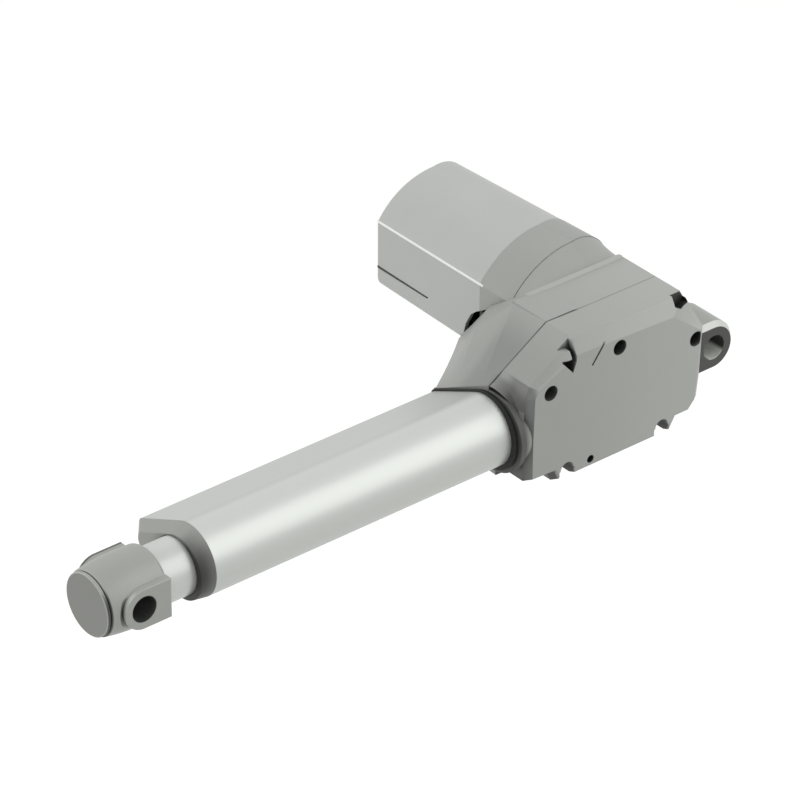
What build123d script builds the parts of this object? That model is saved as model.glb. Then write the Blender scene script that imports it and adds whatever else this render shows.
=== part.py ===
from build123d import *
import math
import os

# Electric linear actuator. Millimetres, +Z up. The origin is the middle of the rear eye,
# +X is the way the rod extends, +Y is the flat gear cover, the motor lies towards -Y.

# overall sizes that drive the rest
EYE_TO_EYE = 270.0
STROKE = 100.0
EYE_RADIUS = 5.1
WALL = 2.6
FIT = 0.05
GAP = 0.3

# outer tube: round on one side, two flats running out to a narrow tip on the other
TUBE_RADIUS = 14.4
TIP_REACH = 16.3
TUBE_TIP = TUBE_RADIUS + TIP_REACH
TUBE_SLOPE = 25.2
TUBE_WALL = 2.2
TUBE_TIP_WALL = 5.7
TIP_ROUND = 1.2
NOSE_LENGTH = 6.5
NOSE_INSET = 1.9
NOSE_SHIFT = 1.7
NOSE_TIP_INSET = 8.0
PLUG_LENGTH = 12.0

# inner rod and its end
ROD_ROOM = 0.95
ROD_WALL = 2.25
ROD_RADIUS = TUBE_RADIUS - TUBE_WALL - ROD_ROOM
ROD_BORE = ROD_RADIUS - ROD_WALL
BARREL_SWELL = 2.7
BARREL_RADIUS = ROD_RADIUS + BARREL_SWELL
BARREL_REAR = 12.3
BARREL_BACK = ROD_RADIUS + 1.05
BARREL_FRONT = ROD_RADIUS + 1.25
DISC_RADIUS = ROD_RADIUS + 0.9
DISC_THICK = 1.4
DISC_GROOVE = 0.35
PAD_HALF = 8.0
PAD_RISE = 0.65
PAD_REACH = BARREL_RADIUS + PAD_RISE
PAD_GROOVE = 1.3
PAD_DEPTH = 1.75
PAD_FLOOR = BARREL_RADIUS - PAD_DEPTH
SPIGOT = 22.0
PIN_RADIUS = 1.5

# gearbox, seen from the flat cover side
REAR = 10.8
FRONT = 98.0
TOP = 34.5
BOTTOM = -22.2
CREASE = 75.0
FRONT_SLOPE = 0.6245
COVER_DEPTH = 18.0
COVER_BEVEL = 3.0
COVER_INSET = 4.0
HOUSING_DEPTH = 19.0
COLLAR_LENGTH = 4.0
COLLAR_RIM = 2.1
COLLAR_SHIFT = 2.5
COLLAR_STEP = 1.4
COLLAR_GROOVE = 1.6
GASKET_RIM = 1.2
GASKET_SHIFT = 1.2
GASKET_LENGTH = 1.2

# neck, flange and motor case, sections seen along the motor
NECK_END = -34.5
FLANGE_END = -52.5
MOTOR_END = -115.0
CASE_ROOM = 3.4
CASE_ROOM_ABOVE = 1.4
CASE_ROOM_BELOW = 5.2
CASE_ARCH = 14.4
CASE_CORNER = 5.0
CASE_WALL = 1.8
CASE_GROWTH = 1.8
FLANGE_RIM = 0.1
WEB_TIP = -65.0
WEB_BULGE = 7.0
WEB_RISE = 10.5
WEB_EDGE = 6.0

# worm drive
MODULE = 1.0
WHEEL_TEETH = 22
WHEEL_WIDTH = 8.0
WORM_PITCH_RADIUS = 4.5
WORM_TURNS = 5
TOOTH_THICK = 1.22
TOOTH_TIP = 0.9
TOOTH_ROOT = 1.2
PRESSURE_ANGLE = 20.0

# spindle line
LUG_HALF_WIDTH = 10.2
LUG_RADIUS = 10.3
LUG_BEVEL = 1.7
LUG_BEVEL_WIDTH = 2.2
LUG_SHANK = 21.5
LUG_FLANGE = 4.0
PLATE_THICK = 1.5
BEARING_WIDTH = 7.0
BEARING_RADIUS = 11.0
RING_THICK = 1.8
BALLS = 7
JOURNAL_RADIUS = 4.0
SEAT_RADIUS = 5.5
SPACER_THICK = 1.5
NUT_WALL = 3.0
THREAD_RADIUS = ROD_BORE - NUT_WALL
WASHER_STEP = 2.0
WASHER_SEAT = THREAD_RADIUS - WASHER_STEP
BUSH_LENGTH = 8.0
WASHER_THICK = 3.0
NUT_LENGTH = 14.0
NUT_SPIGOT = 14.0
TUBE_REAR = 70.0

# motor line
CAN_RADIUS = 16.8
CAN_WALL = 1.3
CAN_FRONT = -66.0
CAN_REAR = -106.0
SHAFT_RADIUS = 2.5
CORE_SLOTS = 7
MAGNET_THICK = 2.8
AIR_GAP = 0.8
BELL_THICK = 3.0
COMMUTATOR_RADIUS = 5.0

# screws of the gear cover
SCREW_HEAD = 2.6
SCREW_RADIUS = 1.5
SCREW_DEPTH = 10.0
SCREW_HEAD_LENGTH = 3.0
SCREW_LENGTH = 16.0
SCREW_RIB = 4.4

# positions that follow from the sizes
FRONT_EYE = EYE_TO_EYE
BARREL_START = FRONT_EYE - BARREL_REAR
DISC_FRONT = FRONT_EYE + 14.0
BARREL_END = DISC_FRONT - DISC_THICK
NOSE_FRONT = BARREL_START - 12.9
TUBE_FRONT = NOSE_FRONT - NOSE_LENGTH
COLLAR_FRONT = FRONT + COLLAR_LENGTH
PLATE_START = LUG_SHANK + LUG_FLANGE
BEARING_START = PLATE_START + PLATE_THICK
SPACER_START = BEARING_START + BEARING_WIDTH
WHEEL_START = SPACER_START + SPACER_THICK
WHEEL_MIDDLE = WHEEL_START + WHEEL_WIDTH / 2
WHEEL_END = WHEEL_START + WHEEL_WIDTH
WHEEL_RADIUS = MODULE * WHEEL_TEETH / 2
WORM_HEIGHT = WHEEL_RADIUS + WORM_PITCH_RADIUS
WORM_PITCH = math.pi * MODULE
WORM_HALF = WORM_TURNS * WORM_PITCH / 2
CAVITY_SIDE = WHEEL_RADIUS + TOOTH_TIP + 0.7
CAVITY_REAR = SPACER_START
CAVITY_FRONT = WHEEL_END + 8.5
BUSH_START = CAVITY_FRONT
BUSH_END = BUSH_START + BUSH_LENGTH
THREAD_START = BUSH_END + 1.0
NUT_START = TUBE_REAR + 8.0
NUT_END = NUT_START + NUT_LENGTH
SPINDLE_END = NUT_END + NUT_SPIGOT + STROKE + 1.5 + WASHER_THICK
ROD_END_INNER = BARREL_START - SPIGOT
CORE_RADIUS = CAN_RADIUS - CAN_WALL - MAGNET_THICK - AIR_GAP
CASE_FRONT = WHEEL_MIDDLE + CAN_RADIUS + CASE_WALL + CASE_ROOM
CASE_REAR = WHEEL_MIDDLE - CAN_RADIUS - CASE_WALL - CASE_ROOM
CASE_TOP = WORM_HEIGHT + CAN_RADIUS + CASE_WALL + CASE_ROOM_ABOVE
CASE_BOTTOM = WORM_HEIGHT - CAN_RADIUS - CASE_WALL - CASE_ROOM_BELOW
CASE_EDGE = CASE_TOP - CASE_ARCH
TOP_SCREW = CREASE - 20.4
WEB_START = CASE_FRONT + 0.1
WEB_BEND = WEB_START + (CREASE - WEB_START) * 32 / 67
WEB_THIRD = CREASE + (FRONT - CREASE) * 7 / 23
WEB_NEAR = CREASE + (FRONT - CREASE) * 15 / 23


def polygon(points):
    """Flat face from a closed run of corners"""
    return make_face(Polyline(*points, close=True))


def at_x(face, x):
    """A section drawn as (Y, Z) put in place at X"""
    return Plane(origin=(x, 0, 0), x_dir=(0, 1, 0), z_dir=(1, 0, 0)) * face


def at_y(face, y):
    """A section drawn as (X, Z) put in place at Y"""
    return Plane(origin=(0, y, 0), x_dir=(1, 0, 0), z_dir=(0, -1, 0)) * face


def along_x(face, start, end):
    """Solid of a (Y, Z) section from start to end in X"""
    return extrude(at_x(face, start), amount=end - start, dir=(1, 0, 0))


def along_y(face, start, end):
    """Solid of an (X, Z) section from start to end in Y"""
    return extrude(at_y(face, start), amount=end - start, dir=(0, 1, 0))


def block(x0, x1, y0, y1, z0, z1):
    """Box between two corners"""
    middle = Pos((x0 + x1) / 2, (y0 + y1) / 2, (z0 + z1) / 2)
    return middle * Box(x1 - x0, y1 - y0, z1 - z0)


def bar_x(radius, start, end, y=0.0, z=0.0):
    """Round bar along X"""
    return Pos((start + end) / 2, y, z) * Rot(0, 90, 0) * Cylinder(radius, end - start)


def bar_y(radius, start, end, x, z):
    """Round bar along Y"""
    return Pos(x, (start + end) / 2, z) * Rot(90, 0, 0) * Cylinder(radius, end - start)


def bar_z(radius, start, end, x, y):
    """Round bar along Z"""
    return Pos(x, y, (start + end) / 2) * Cylinder(radius, end - start)


def turned_x(points):
    """Solid turned about the rod axis from (X, radius) corners"""
    return revolve(at_y(polygon(points), 0), axis=Axis.X)


def tube_section(radius, tip, rounding=TIP_ROUND):
    """Round side of the given radius, flats at the tube slope, rounded tip at -tip"""
    sine = math.sin(math.radians(TUBE_SLOPE))
    cosine = math.cos(math.radians(TUBE_SLOPE))
    shoulder = (-radius * sine, radius * cosine)
    edge = rounding - tip
    half = (radius + edge * sine) / cosine
    upper = Line(shoulder, (edge, half))
    nose = ThreePointArc((edge, half), (-tip, 0), (edge, -half))
    lower = Line((edge, -half), (shoulder[0], -shoulder[1]))
    side = ThreePointArc((shoulder[0], -shoulder[1]), (radius, 0), shoulder)
    return make_face([upper, nose, lower, side])


def arch_section(front, rear, bottom, top, edge, corner):
    """Motor case seen along its length: flat front, base and back under a rounded top"""
    apex = rear + 0.375 * (front - rear)
    diagonal = corner * math.sqrt(0.5)
    base = Line((rear + corner, bottom), (front - corner, bottom))
    low = corner - diagonal
    front_corner = ThreePointArc(base @ 1, (front - low, bottom + low), (front, bottom + corner))
    face = Line(front_corner @ 1, (front, edge))
    shoulder = (apex + 0.53 * (front - apex), edge + 0.764 * (top - edge))
    front_arch = ThreePointArc((front, edge), shoulder, (apex, top))
    back_shoulder = (rear + 0.2 * (apex - rear), top - 0.3 * (top - edge))
    back_arch = ThreePointArc((apex, top), back_shoulder, (rear, edge + 0.17 * (top - edge)))
    back = Line(back_arch @ 1, (rear, bottom + corner))
    rear_corner = ThreePointArc(back @ 1, (rear + low, bottom + low), base @ 0)
    return make_face([base, front_corner, face, front_arch, back_arch, back, rear_corner])


def slope_height(x):
    """Height of the gearbox roof at X, flat and then falling to the collar"""
    return TOP + 0.5 - FRONT_SLOPE * max(0.0, x - CREASE)


def gear_outline(inset):
    """Side view of the gearbox, pulled in by inset for the flat face of the cover"""
    lower = BOTTOM + 0.3 * inset
    rear = REAR + 0.9 * inset
    front = FRONT - 0.55 * inset
    roof = 1.5 * inset
    roof_start = REAR + 10.9 + 1.6 * inset
    return [
        (front - 2.5, slope_height(front - 2.5) - 0.6 * inset),
        (front - 0.6, slope_height(front) - 3.5),
        (front, 0.3),
        (front, lower + 5.0),
        (front - 11.5, lower + 4.5),
        (front - 13.5, lower),
        (rear + 14.5, lower),
        (rear + 11.5, lower + 5.0),
        (rear + 5.0, lower + 5.0),
        (rear + 2.0, lower + 8.3),
        (rear + 0.9, lower + 18.0),
        (rear, 16.0 + 0.2 * inset),
        (roof_start, TOP - roof - 0.9 * (inset / COVER_INSET)),
        (CREASE - 23.0, TOP - roof),
        (CREASE, slope_height(CREASE) - 1.4 * inset),
    ]


def lug_profile(radius, length):
    """Side view of the rear lug: round about the eye, straight into the housing"""
    top = Line((length, radius), (0, radius))
    round_end = ThreePointArc((0, radius), (-radius, 0), (0, -radius))
    under = Line((0, -radius), (length, -radius))
    closing = Line((length, -radius), (length, radius))
    return make_face([top, round_end, under, closing])


def ring_x(outer, inner, start, end):
    """Plain ring about the spindle axis"""
    return bar_x(outer, start, end) - bar_x(inner, start, end)


def motor_bar(radius, start, end):
    """Round bar on the worm and motor axis"""
    return bar_y(radius, start, end, WHEEL_MIDDLE, WORM_HEIGHT)


def motor_ring(outer, inner, start, end):
    """Plain ring on the worm and motor axis"""
    return motor_bar(outer, start, end) - motor_bar(inner, start, end)


SCREW_PLACES = [
    (FRONT - 10.3, TOP - 16.6),
    (TOP_SCREW, TOP - 9.8),
    (REAR + 5.8, TOP - 20.7),
    (FRONT - 19.0, BOTTOM + 3.8),
    (REAR + 21.7, BOTTOM + 3.8),
]


def build_lug():
    """Rear mounting lug with bevelled sides and a flange that the housing halves clamp"""
    bevel_start = LUG_HALF_WIDTH - LUG_BEVEL_WIDTH
    core = along_y(lug_profile(LUG_RADIUS, LUG_SHANK), -bevel_start, bevel_start)
    for side in (-1, 1):
        inner = at_y(lug_profile(LUG_RADIUS, LUG_SHANK), side * bevel_start)
        outer = at_y(lug_profile(LUG_RADIUS - LUG_BEVEL, LUG_SHANK), side * LUG_HALF_WIDTH)
        core += loft([inner.face(), outer.face()], ruled=True)
    reach = LUG_RADIUS + 1.2
    flange = block(LUG_SHANK, PLATE_START, -LUG_HALF_WIDTH, LUG_HALF_WIDTH, -reach, reach)
    bore = bar_y(EYE_RADIUS, -LUG_HALF_WIDTH, LUG_HALF_WIDTH, 0, 0)
    return core + flange - bore


def drive_hollow():
    """Space inside the two halves: gears, bearings, spindle, tube and motor shaft"""
    hollow = block(
        CAVITY_REAR, CAVITY_FRONT, -CAVITY_SIDE, CAVITY_SIDE, -CAVITY_SIDE - 1.0, WORM_HEIGHT + 7.0
    )
    hollow += bar_x(BEARING_RADIUS, BEARING_START, SPACER_START)
    hollow += bar_x(BEARING_RADIUS - 1.5, PLATE_START, BEARING_START)
    hollow += bar_x(THREAD_RADIUS + 2.5, CAVITY_FRONT, BUSH_END)
    hollow += bar_x(THREAD_RADIUS + 1.2, BUSH_END, TUBE_REAR)
    hollow += along_x(tube_section(TUBE_RADIUS, TUBE_TIP), TUBE_REAR, COLLAR_FRONT)
    hollow += motor_bar(SHAFT_RADIUS + 3.0, CAVITY_SIDE, COVER_DEPTH - 2.0)
    hollow += motor_bar(SHAFT_RADIUS + 3.5, -CAVITY_SIDE - 4.5, -CAVITY_SIDE)
    hollow += motor_bar(SHAFT_RADIUS + 1.0, NECK_END, -CAVITY_SIDE)
    return hollow


def moulding_pockets(depth, side):
    """Pockets between ribs, open to the parting plane, as in a moulded half"""
    spans = [
        (REAR + 15.0, REAR + 24.0, WORM_HEIGHT + 9.0, TOP - WALL),
        (REAR + 26.0, CAVITY_FRONT - 6.0, WORM_HEIGHT + 9.0, TOP - WALL),
        (TOP_SCREW + SCREW_RIB, CREASE - 3.0, TUBE_RADIUS + 2.0, TOP - WALL),
        (CAVITY_REAR + 5.0, CAVITY_REAR + 15.0, BOTTOM + WALL, -CAVITY_SIDE - 3.5),
        (CAVITY_REAR + 17.0, TUBE_REAR - 3.0, BOTTOM + WALL, -TUBE_RADIUS - 2.0),
    ]
    pockets = [block(x0, x1, min(0, side * depth), max(0, side * depth), z0, z1)
               for x0, x1, z0, z1 in spans]
    return pockets


def build_cover():
    """Gear cover: bevelled moulding with screw recesses, corner notch and hook window"""
    bevel = COVER_DEPTH - COVER_BEVEL
    body = along_y(polygon(gear_outline(0)), 0, bevel)
    wide = at_y(polygon(gear_outline(0)), bevel)
    flat = at_y(polygon(gear_outline(COVER_INSET)), COVER_DEPTH)
    body += loft([wide.face(), flat.face()], ruled=True)
    body += collar(1)
    body -= drive_hollow()
    body -= build_lug()
    for pocket in moulding_pockets(COVER_DEPTH - 4.0, 1):
        body -= pocket
    floor = COVER_DEPTH - SCREW_DEPTH
    for x, z in SCREW_PLACES:
        body -= bar_y(SCREW_HEAD + 0.5, floor, COVER_DEPTH + 1, x, z)
        body -= bar_y(SCREW_HEAD, floor - SCREW_HEAD_LENGTH, floor, x, z)
        body -= bar_y(SCREW_RADIUS, 0, floor - SCREW_HEAD_LENGTH, x, z)
    # lower recesses run out through the underside
    for x, z in SCREW_PLACES[3:]:
        body -= block(x - 3.6, x + 3.6, floor, COVER_DEPTH + 1, BOTTOM - 1, z)
    # corner notch at the rear top, hook window under the crease, notch in the lower edge
    notch = [(REAR + 9.2, TOP - 4.5), (REAR + 12.7, TOP - 5.9), (REAR + 15.8, TOP - 4.0),
             (REAR + 16.2, TOP + 2), (REAR + 9.2, TOP + 2)]
    body -= along_y(polygon(notch), bevel - 1.5, COVER_DEPTH + 1)
    window = [(CREASE + 0.6, TOP - 7.5), (CREASE + 2.2, TOP - 11.9), (CREASE + 6.6, TOP - 6.9),
              (CREASE + 6.4, TOP + 2), (CREASE + 0.8, TOP + 2)]
    hook = block(
        CREASE + 2.6, CREASE + 7.0, bevel - 2.0, COVER_DEPTH - 0.4, TOP - 6.3, TOP - 3.3
    )
    body -= along_y(polygon(window), bevel - 2.0, COVER_DEPTH + 1) - hook
    body -= bar_y(1.6, bevel, COVER_DEPTH + 1, CREASE - 7.4, BOTTOM + COVER_INSET - 0.2)
    # shallow step line beside the window
    line = [(CREASE - 7.4, TOP - 12.5), (CREASE - 13.2, TOP - 4.9), (CREASE - 17.4, TOP - 3.9),
            (CREASE - 17.4, TOP - 3.2), (CREASE - 12.7, TOP - 4.2), (CREASE - 6.7, TOP - 12.1)]
    body -= along_y(polygon(line), COVER_DEPTH - 0.5, COVER_DEPTH + 1)
    return body


def collar(side):
    """Stepped rim round the tube, wide on its round side, one half of it"""
    groove_end = FRONT + COLLAR_GROOVE
    step = tube_section(TUBE_RADIUS + COLLAR_RIM - COLLAR_STEP, TUBE_TIP + COLLAR_SHIFT)
    rim = tube_section(TUBE_RADIUS + COLLAR_RIM, TUBE_TIP + COLLAR_SHIFT + 1.0)
    ring = along_x(Pos(COLLAR_SHIFT, 0) * step, FRONT - 8.0, groove_end)
    ring += along_x(Pos(COLLAR_SHIFT, 0) * rim, groove_end, COLLAR_FRONT)
    reach = TUBE_TIP + 10.0
    half = block(
        FRONT - 8.0, COLLAR_FRONT, min(0, side * reach), max(0, side * reach), -reach, reach
    )
    return ring & half


def web_line(x):
    """Corners of the web's outer surface at X, from the parting plane down to the wall"""
    share = max(0.0, (x - CASE_FRONT) / (COLLAR_FRONT - CASE_FRONT))
    wall = WEB_TIP + share * (0.5 - TUBE_TIP - WEB_TIP)
    wall_top = CASE_BOTTOM + 0.3 + WEB_RISE * share ** 1.4
    crease = -18.0 + 13.0 * max(0.0, (x - CREASE) / (COLLAR_FRONT - CREASE))
    crease_top = slope_height(x) - 0.2 - 2.2 * share ** 2
    middle = crease + 0.6 * (wall - crease)
    bulge = WEB_BULGE * (1.0 - share) ** 1.5
    middle_top = crease_top + 0.6 * (wall_top - crease_top) + bulge
    return [(0, slope_height(x)), (crease, crease_top), (middle, middle_top), (wall, wall_top)]


def web_section(x):
    """(Y, Z) section at X of the web that runs from the roof down to the motor and the tube"""
    line = web_line(x)
    wall, wall_top = line[-1]
    edge = (wall + 0.5, wall_top - WEB_EDGE - 0.07 * (x - CASE_FRONT))
    return polygon(line + [edge, (-HOUSING_DEPTH, BOTTOM + 1.0), (0, BOTTOM)])


def over_web(x):
    """(Y, Z) section at X of the free space above the web"""
    line = web_line(x)
    far = line[-1][0] - 1.0
    return polygon(line + [(far, line[-1][1]), (far, TOP + 5.0), (0, TOP + 5.0)])


def web_root():
    """(Y, Z) section inside the neck from which the web rises"""
    return polygon([
        (0, TOP - 1.0),
        (-18.0, TOP - 3.0),
        (NECK_END + 4.5, TOP - 10.5),
        (NECK_END + 1.0, CASE_BOTTOM + 3.3),
        (NECK_END + 1.5, CASE_BOTTOM - 3.7),
        (-HOUSING_DEPTH, BOTTOM + 1.0),
        (0, BOTTOM),
    ])


def web_lip():
    """Front end of the web, laid along the flat of the tube up to the gasket"""
    ends = [at_x(web_section(x), x).face() for x in (FRONT, COLLAR_FRONT)]
    reach = TUBE_TIP + 2.0
    return loft(ends, ruled=True) & block(FRONT, COLLAR_FRONT, -reach, 0.0, 0.0, TOP)


def build_housing():
    """Gear housing: half box, neck to the motor, web to the collar, hollow inside"""
    body = along_y(polygon(gear_outline(0)), -HOUSING_DEPTH, 0)
    stations = [WEB_START, WEB_BEND, CREASE, WEB_THIRD, WEB_NEAR, FRONT]
    sections = [at_x(web_root(), CASE_FRONT - 9.0).face()]
    sections += [at_x(web_section(x), x).face() for x in stations]
    body += loft(sections, ruled=True)
    body += web_lip()
    spare = [CREASE, WEB_THIRD, WEB_NEAR, FRONT, COLLAR_FRONT]
    above = loft([at_x(over_web(x), x).face() for x in spare], ruled=True)
    # neck that closes to the arch of the motor case
    wide = arch_section(
        CREASE - 5.0, REAR + 6.0, BOTTOM + 2.0, TOP - 1.0, TOP - 5.5, CASE_CORNER
    )
    narrow = case_section(NECK_END, 0.05)
    neck = [at_y(wide, -HOUSING_DEPTH).face(), at_y(narrow, NECK_END).face()]
    body += loft(neck, ruled=True)
    # raised ridge along the roof beside the neck
    ridge = [(REAR + 11.2, TOP - 3.0), (REAR + 12.2, TOP + 0.3), (CREASE - 8.0, TOP + 0.3),
             (CREASE - 6.0, TOP - 3.0)]
    body += along_y(polygon(ridge), -HOUSING_DEPTH - 1.2, -HOUSING_DEPTH + 1.0)
    body += collar(-1)
    body -= above
    body -= case_solid(FLANGE_END, NECK_END, -FLANGE_RIM)
    body -= case_solid(MOTOR_END, FLANGE_END, 0)
    body -= drive_hollow()
    body -= build_lug()
    for pocket in moulding_pockets(HOUSING_DEPTH - 4.0, -1):
        body -= pocket
    # hollow of the neck and of the web, reached from the motor side and from below
    body -= motor_bar(CORE_RADIUS, NECK_END, -HOUSING_DEPTH - 3.5)
    body -= block(CREASE - 9.0, FRONT - 6.0, -40.0, -21.0, BOTTOM - 1.0, -10.5)
    shank_end = COVER_DEPTH - SCREW_DEPTH - SCREW_HEAD_LENGTH - SCREW_LENGTH
    for x, z in SCREW_PLACES:
        body -= bar_y(SCREW_RADIUS, shank_end, 0, x, z)
    return body


def case_section(y, inset):
    """Section of the motor case at Y; it narrows towards its end"""
    share = (y - MOTOR_END) / (FLANGE_END - MOTOR_END)
    return arch_section(
        CASE_FRONT + 0.6 * share - inset,
        CASE_REAR - CASE_GROWTH * share + inset,
        CASE_BOTTOM - 0.7 * share + inset,
        CASE_TOP + 1.6 * share - inset,
        CASE_EDGE + 0.5 * share - 0.6 * inset,
        CASE_CORNER - 0.6 * inset,
    )


def case_solid(start, end, inset):
    """Length of the tapered motor case, pulled in by inset"""
    sections = [at_y(case_section(y, inset), y).face() for y in (start, end)]
    return loft(sections, ruled=True)


def socket_window():
    """Opening of the cable socket in the front of the motor case, as (Y, Z) corners"""
    return [
        (FLANGE_END - 10.9, CASE_BOTTOM + 2.3),
        (FLANGE_END - 9.1, CASE_BOTTOM + 4.7),
        (FLANGE_END - 8.0, CASE_BOTTOM + 9.2),
        (FLANGE_END - 5.1, CASE_BOTTOM + 14.5),
        (FLANGE_END - 2.2, CASE_BOTTOM + 17.0),
        (FLANGE_END + 3.0, CASE_BOTTOM + 20.2),
        (FLANGE_END + 5.1, CASE_BOTTOM + 21.7),
    ]


def build_flange():
    """Flared part of the case between neck and motor cover, with the motor seat"""
    body = case_solid(FLANGE_END, NECK_END, -FLANGE_RIM)
    body -= case_solid(FLANGE_END, NECK_END, CASE_WALL)
    seat = case_solid(FLANGE_END, FLANGE_END + WALL, CASE_WALL)
    body += seat - motor_bar(9.0, FLANGE_END, FLANGE_END + WALL)
    body -= along_x(polygon(socket_window()), CASE_FRONT - 9.0, CASE_FRONT + 3.0)
    return body


def build_case():
    """Motor cover: tapered shell closed at its end, with the groove and socket opening"""
    rim = MOTOR_END + 1.4
    outer = case_solid(rim, FLANGE_END, 0)
    end_face = [at_y(case_section(rim, 0), rim).face(), at_y(case_section(rim, 1.3), MOTOR_END).face()]
    outer += loft(end_face, ruled=True)
    body = outer - case_solid(MOTOR_END + CASE_WALL, FLANGE_END, CASE_WALL)
    low = CASE_BOTTOM + 9.2
    groove = block(
        CASE_FRONT - 0.2, CASE_FRONT + 2.0, MOTOR_END + 2.0, FLANGE_END - 30.5, low, low + 0.8
    )
    body -= groove
    body -= along_x(polygon(socket_window()), CASE_FRONT - 4.0, CASE_FRONT + 3.0)
    return body


def build_socket():
    """Cable socket behind the opening: a tray with five contact pins"""
    depth = CASE_FRONT - 8.0
    front = CASE_FRONT
    plate = polygon([
        (FLANGE_END - 11.9, CASE_BOTTOM + 1.3),
        (FLANGE_END - 10.9, CASE_BOTTOM + 9.8),
        (FLANGE_END - 6.5, CASE_BOTTOM + 16.8),
        (FLANGE_END - GAP, CASE_BOTTOM + 20.3),
        (FLANGE_END - GAP, CASE_BOTTOM + 1.3),
    ])
    well = polygon([
        (FLANGE_END - 9.9, CASE_BOTTOM + 3.3),
        (FLANGE_END - 8.9, CASE_BOTTOM + 9.3),
        (FLANGE_END - 5.5, CASE_BOTTOM + 14.8),
        (FLANGE_END - 2.0, CASE_BOTTOM + 17.3),
        (FLANGE_END - 2.0, CASE_BOTTOM + 3.3),
    ])
    contacts = ((7.5, 6.3), (5.0, 6.3), (5.0, 10.3), (3.5, 13.3), (7.5, 9.1))
    body = along_x(plate, depth - 2.0, front) - along_x(well, depth, front)
    for inward, upward in contacts:
        body += bar_x(
            0.5, depth - 1.0, depth + 5.0, FLANGE_END - inward, CASE_BOTTOM + upward
        )
    return body & case_solid(MOTOR_END + CASE_WALL, FLANGE_END, CASE_WALL)


def wheel_section(turn):
    """Toothed outline of the worm wheel, turned by the given angle in degrees"""
    pitch_angle = 360.0 / WHEEL_TEETH
    lean = math.tan(math.radians(PRESSURE_ANGLE))
    corners = []
    for tooth in range(WHEEL_TEETH):
        middle = turn + 90.0 + pitch_angle * (tooth + 0.5)
        for rise, side in ((-TOOTH_ROOT, -1), (TOOTH_TIP, -1), (TOOTH_TIP, 1), (-TOOTH_ROOT, 1)):
            radius = WHEEL_RADIUS + rise
            half = TOOTH_THICK / 2 - rise * lean
            angle = math.radians(middle) + side * half / radius
            corners.append((radius * math.cos(angle), radius * math.sin(angle)))
    return polygon(corners)


def build_wheel():
    """Worm wheel with helical teeth, web and hub on the spindle seat"""
    lead = math.degrees(MODULE / (2 * WORM_PITCH_RADIUS) / WHEEL_RADIUS)
    sections = [at_x(wheel_section(lead * (x - WHEEL_MIDDLE)), x).face()
                for x in (WHEEL_START, WHEEL_END)]
    body = loft(sections, ruled=True)
    recess = 2.0
    for start, end in ((WHEEL_START, WHEEL_START + recess), (WHEEL_END - recess, WHEEL_END)):
        body -= ring_x(WHEEL_RADIUS - 2.6, SEAT_RADIUS + 1.5, start, end)
    body -= bar_x(SEAT_RADIUS, WHEEL_START, WHEEL_END)
    return body - build_key()


def build_key():
    """Key between spindle and worm wheel"""
    return block(WHEEL_START + 0.5, WHEEL_END - 0.5, -1.0, 1.0, SEAT_RADIUS - 1.2, SEAT_RADIUS + 1.0)


def build_spindle():
    """Spindle: bearing journal, wheel seat, collar, bush journal and threaded length"""
    body = turned_x([
        (PLATE_START + 0.7, 0),
        (PLATE_START + 0.7, JOURNAL_RADIUS - 0.5),
        (PLATE_START + 1.2, JOURNAL_RADIUS),
        (WHEEL_START, JOURNAL_RADIUS),
        (WHEEL_START, SEAT_RADIUS),
        (WHEEL_END, SEAT_RADIUS),
        (WHEEL_END, SEAT_RADIUS + 2.0),
        (WHEEL_END + 2.5, SEAT_RADIUS + 2.0),
        (WHEEL_END + 2.5, SEAT_RADIUS - 0.5),
        (THREAD_START, SEAT_RADIUS - 0.5),
        (THREAD_START + 1.0, THREAD_RADIUS),
        (SPINDLE_END - WASHER_THICK - 1.0, THREAD_RADIUS),
        (SPINDLE_END - WASHER_THICK, THREAD_RADIUS - 1.0),
        (SPINDLE_END - WASHER_THICK, WASHER_SEAT),
        (SPINDLE_END, WASHER_SEAT),
        (SPINDLE_END, 0),
    ])
    return body - build_key()


def build_worm_shaft():
    """Motor shaft with a one-start worm cut on it"""
    worm_root = WORM_PITCH_RADIUS - TOOTH_ROOT
    shaft = motor_bar(SHAFT_RADIUS, CAN_REAR - BELL_THICK, COVER_DEPTH - 2.5)
    shaft += motor_bar(worm_root, -WORM_HALF - 2.0, WORM_HALF + 2.0)
    lean = math.tan(math.radians(PRESSURE_ANGLE))
    sunk = TOOTH_ROOT + 0.2
    tip_half = TOOTH_THICK / 2 - TOOTH_TIP * lean
    root_half = TOOTH_THICK / 2 + sunk * lean
    inner = WORM_PITCH_RADIUS - sunk
    outer = WORM_PITCH_RADIUS + TOOTH_TIP
    path = Helix(pitch=WORM_PITCH, height=WORM_PITCH * WORM_TURNS, radius=WORM_PITCH_RADIUS)
    profile = Plane.XZ * polygon([
        (inner, -root_half), (outer, -tip_half), (outer, tip_half), (inner, root_half)
    ])
    thread = sweep(profile, path=path, is_frenet=True)
    place = Plane(
        origin=(WHEEL_MIDDLE, -WORM_HALF, WORM_HEIGHT), x_dir=(0, 0, 1), z_dir=(0, 1, 0)
    )
    return shaft + place * thread


def build_bearing_balls():
    """Balls of the spindle bearing held in their cage"""
    middle = BEARING_START + BEARING_WIDTH / 2
    pitch = (BEARING_RADIUS + JOURNAL_RADIUS) / 2
    ball = (BEARING_RADIUS - JOURNAL_RADIUS) / 2 - RING_THICK - 0.05
    body = ring_x(pitch + 0.3, pitch - 0.3, middle - 1.2, middle + 1.2)
    for number in range(BALLS):
        angle = 2 * math.pi * number / BALLS
        body += Pos(middle, pitch * math.cos(angle), pitch * math.sin(angle)) * Sphere(ball)
    return body


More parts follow.
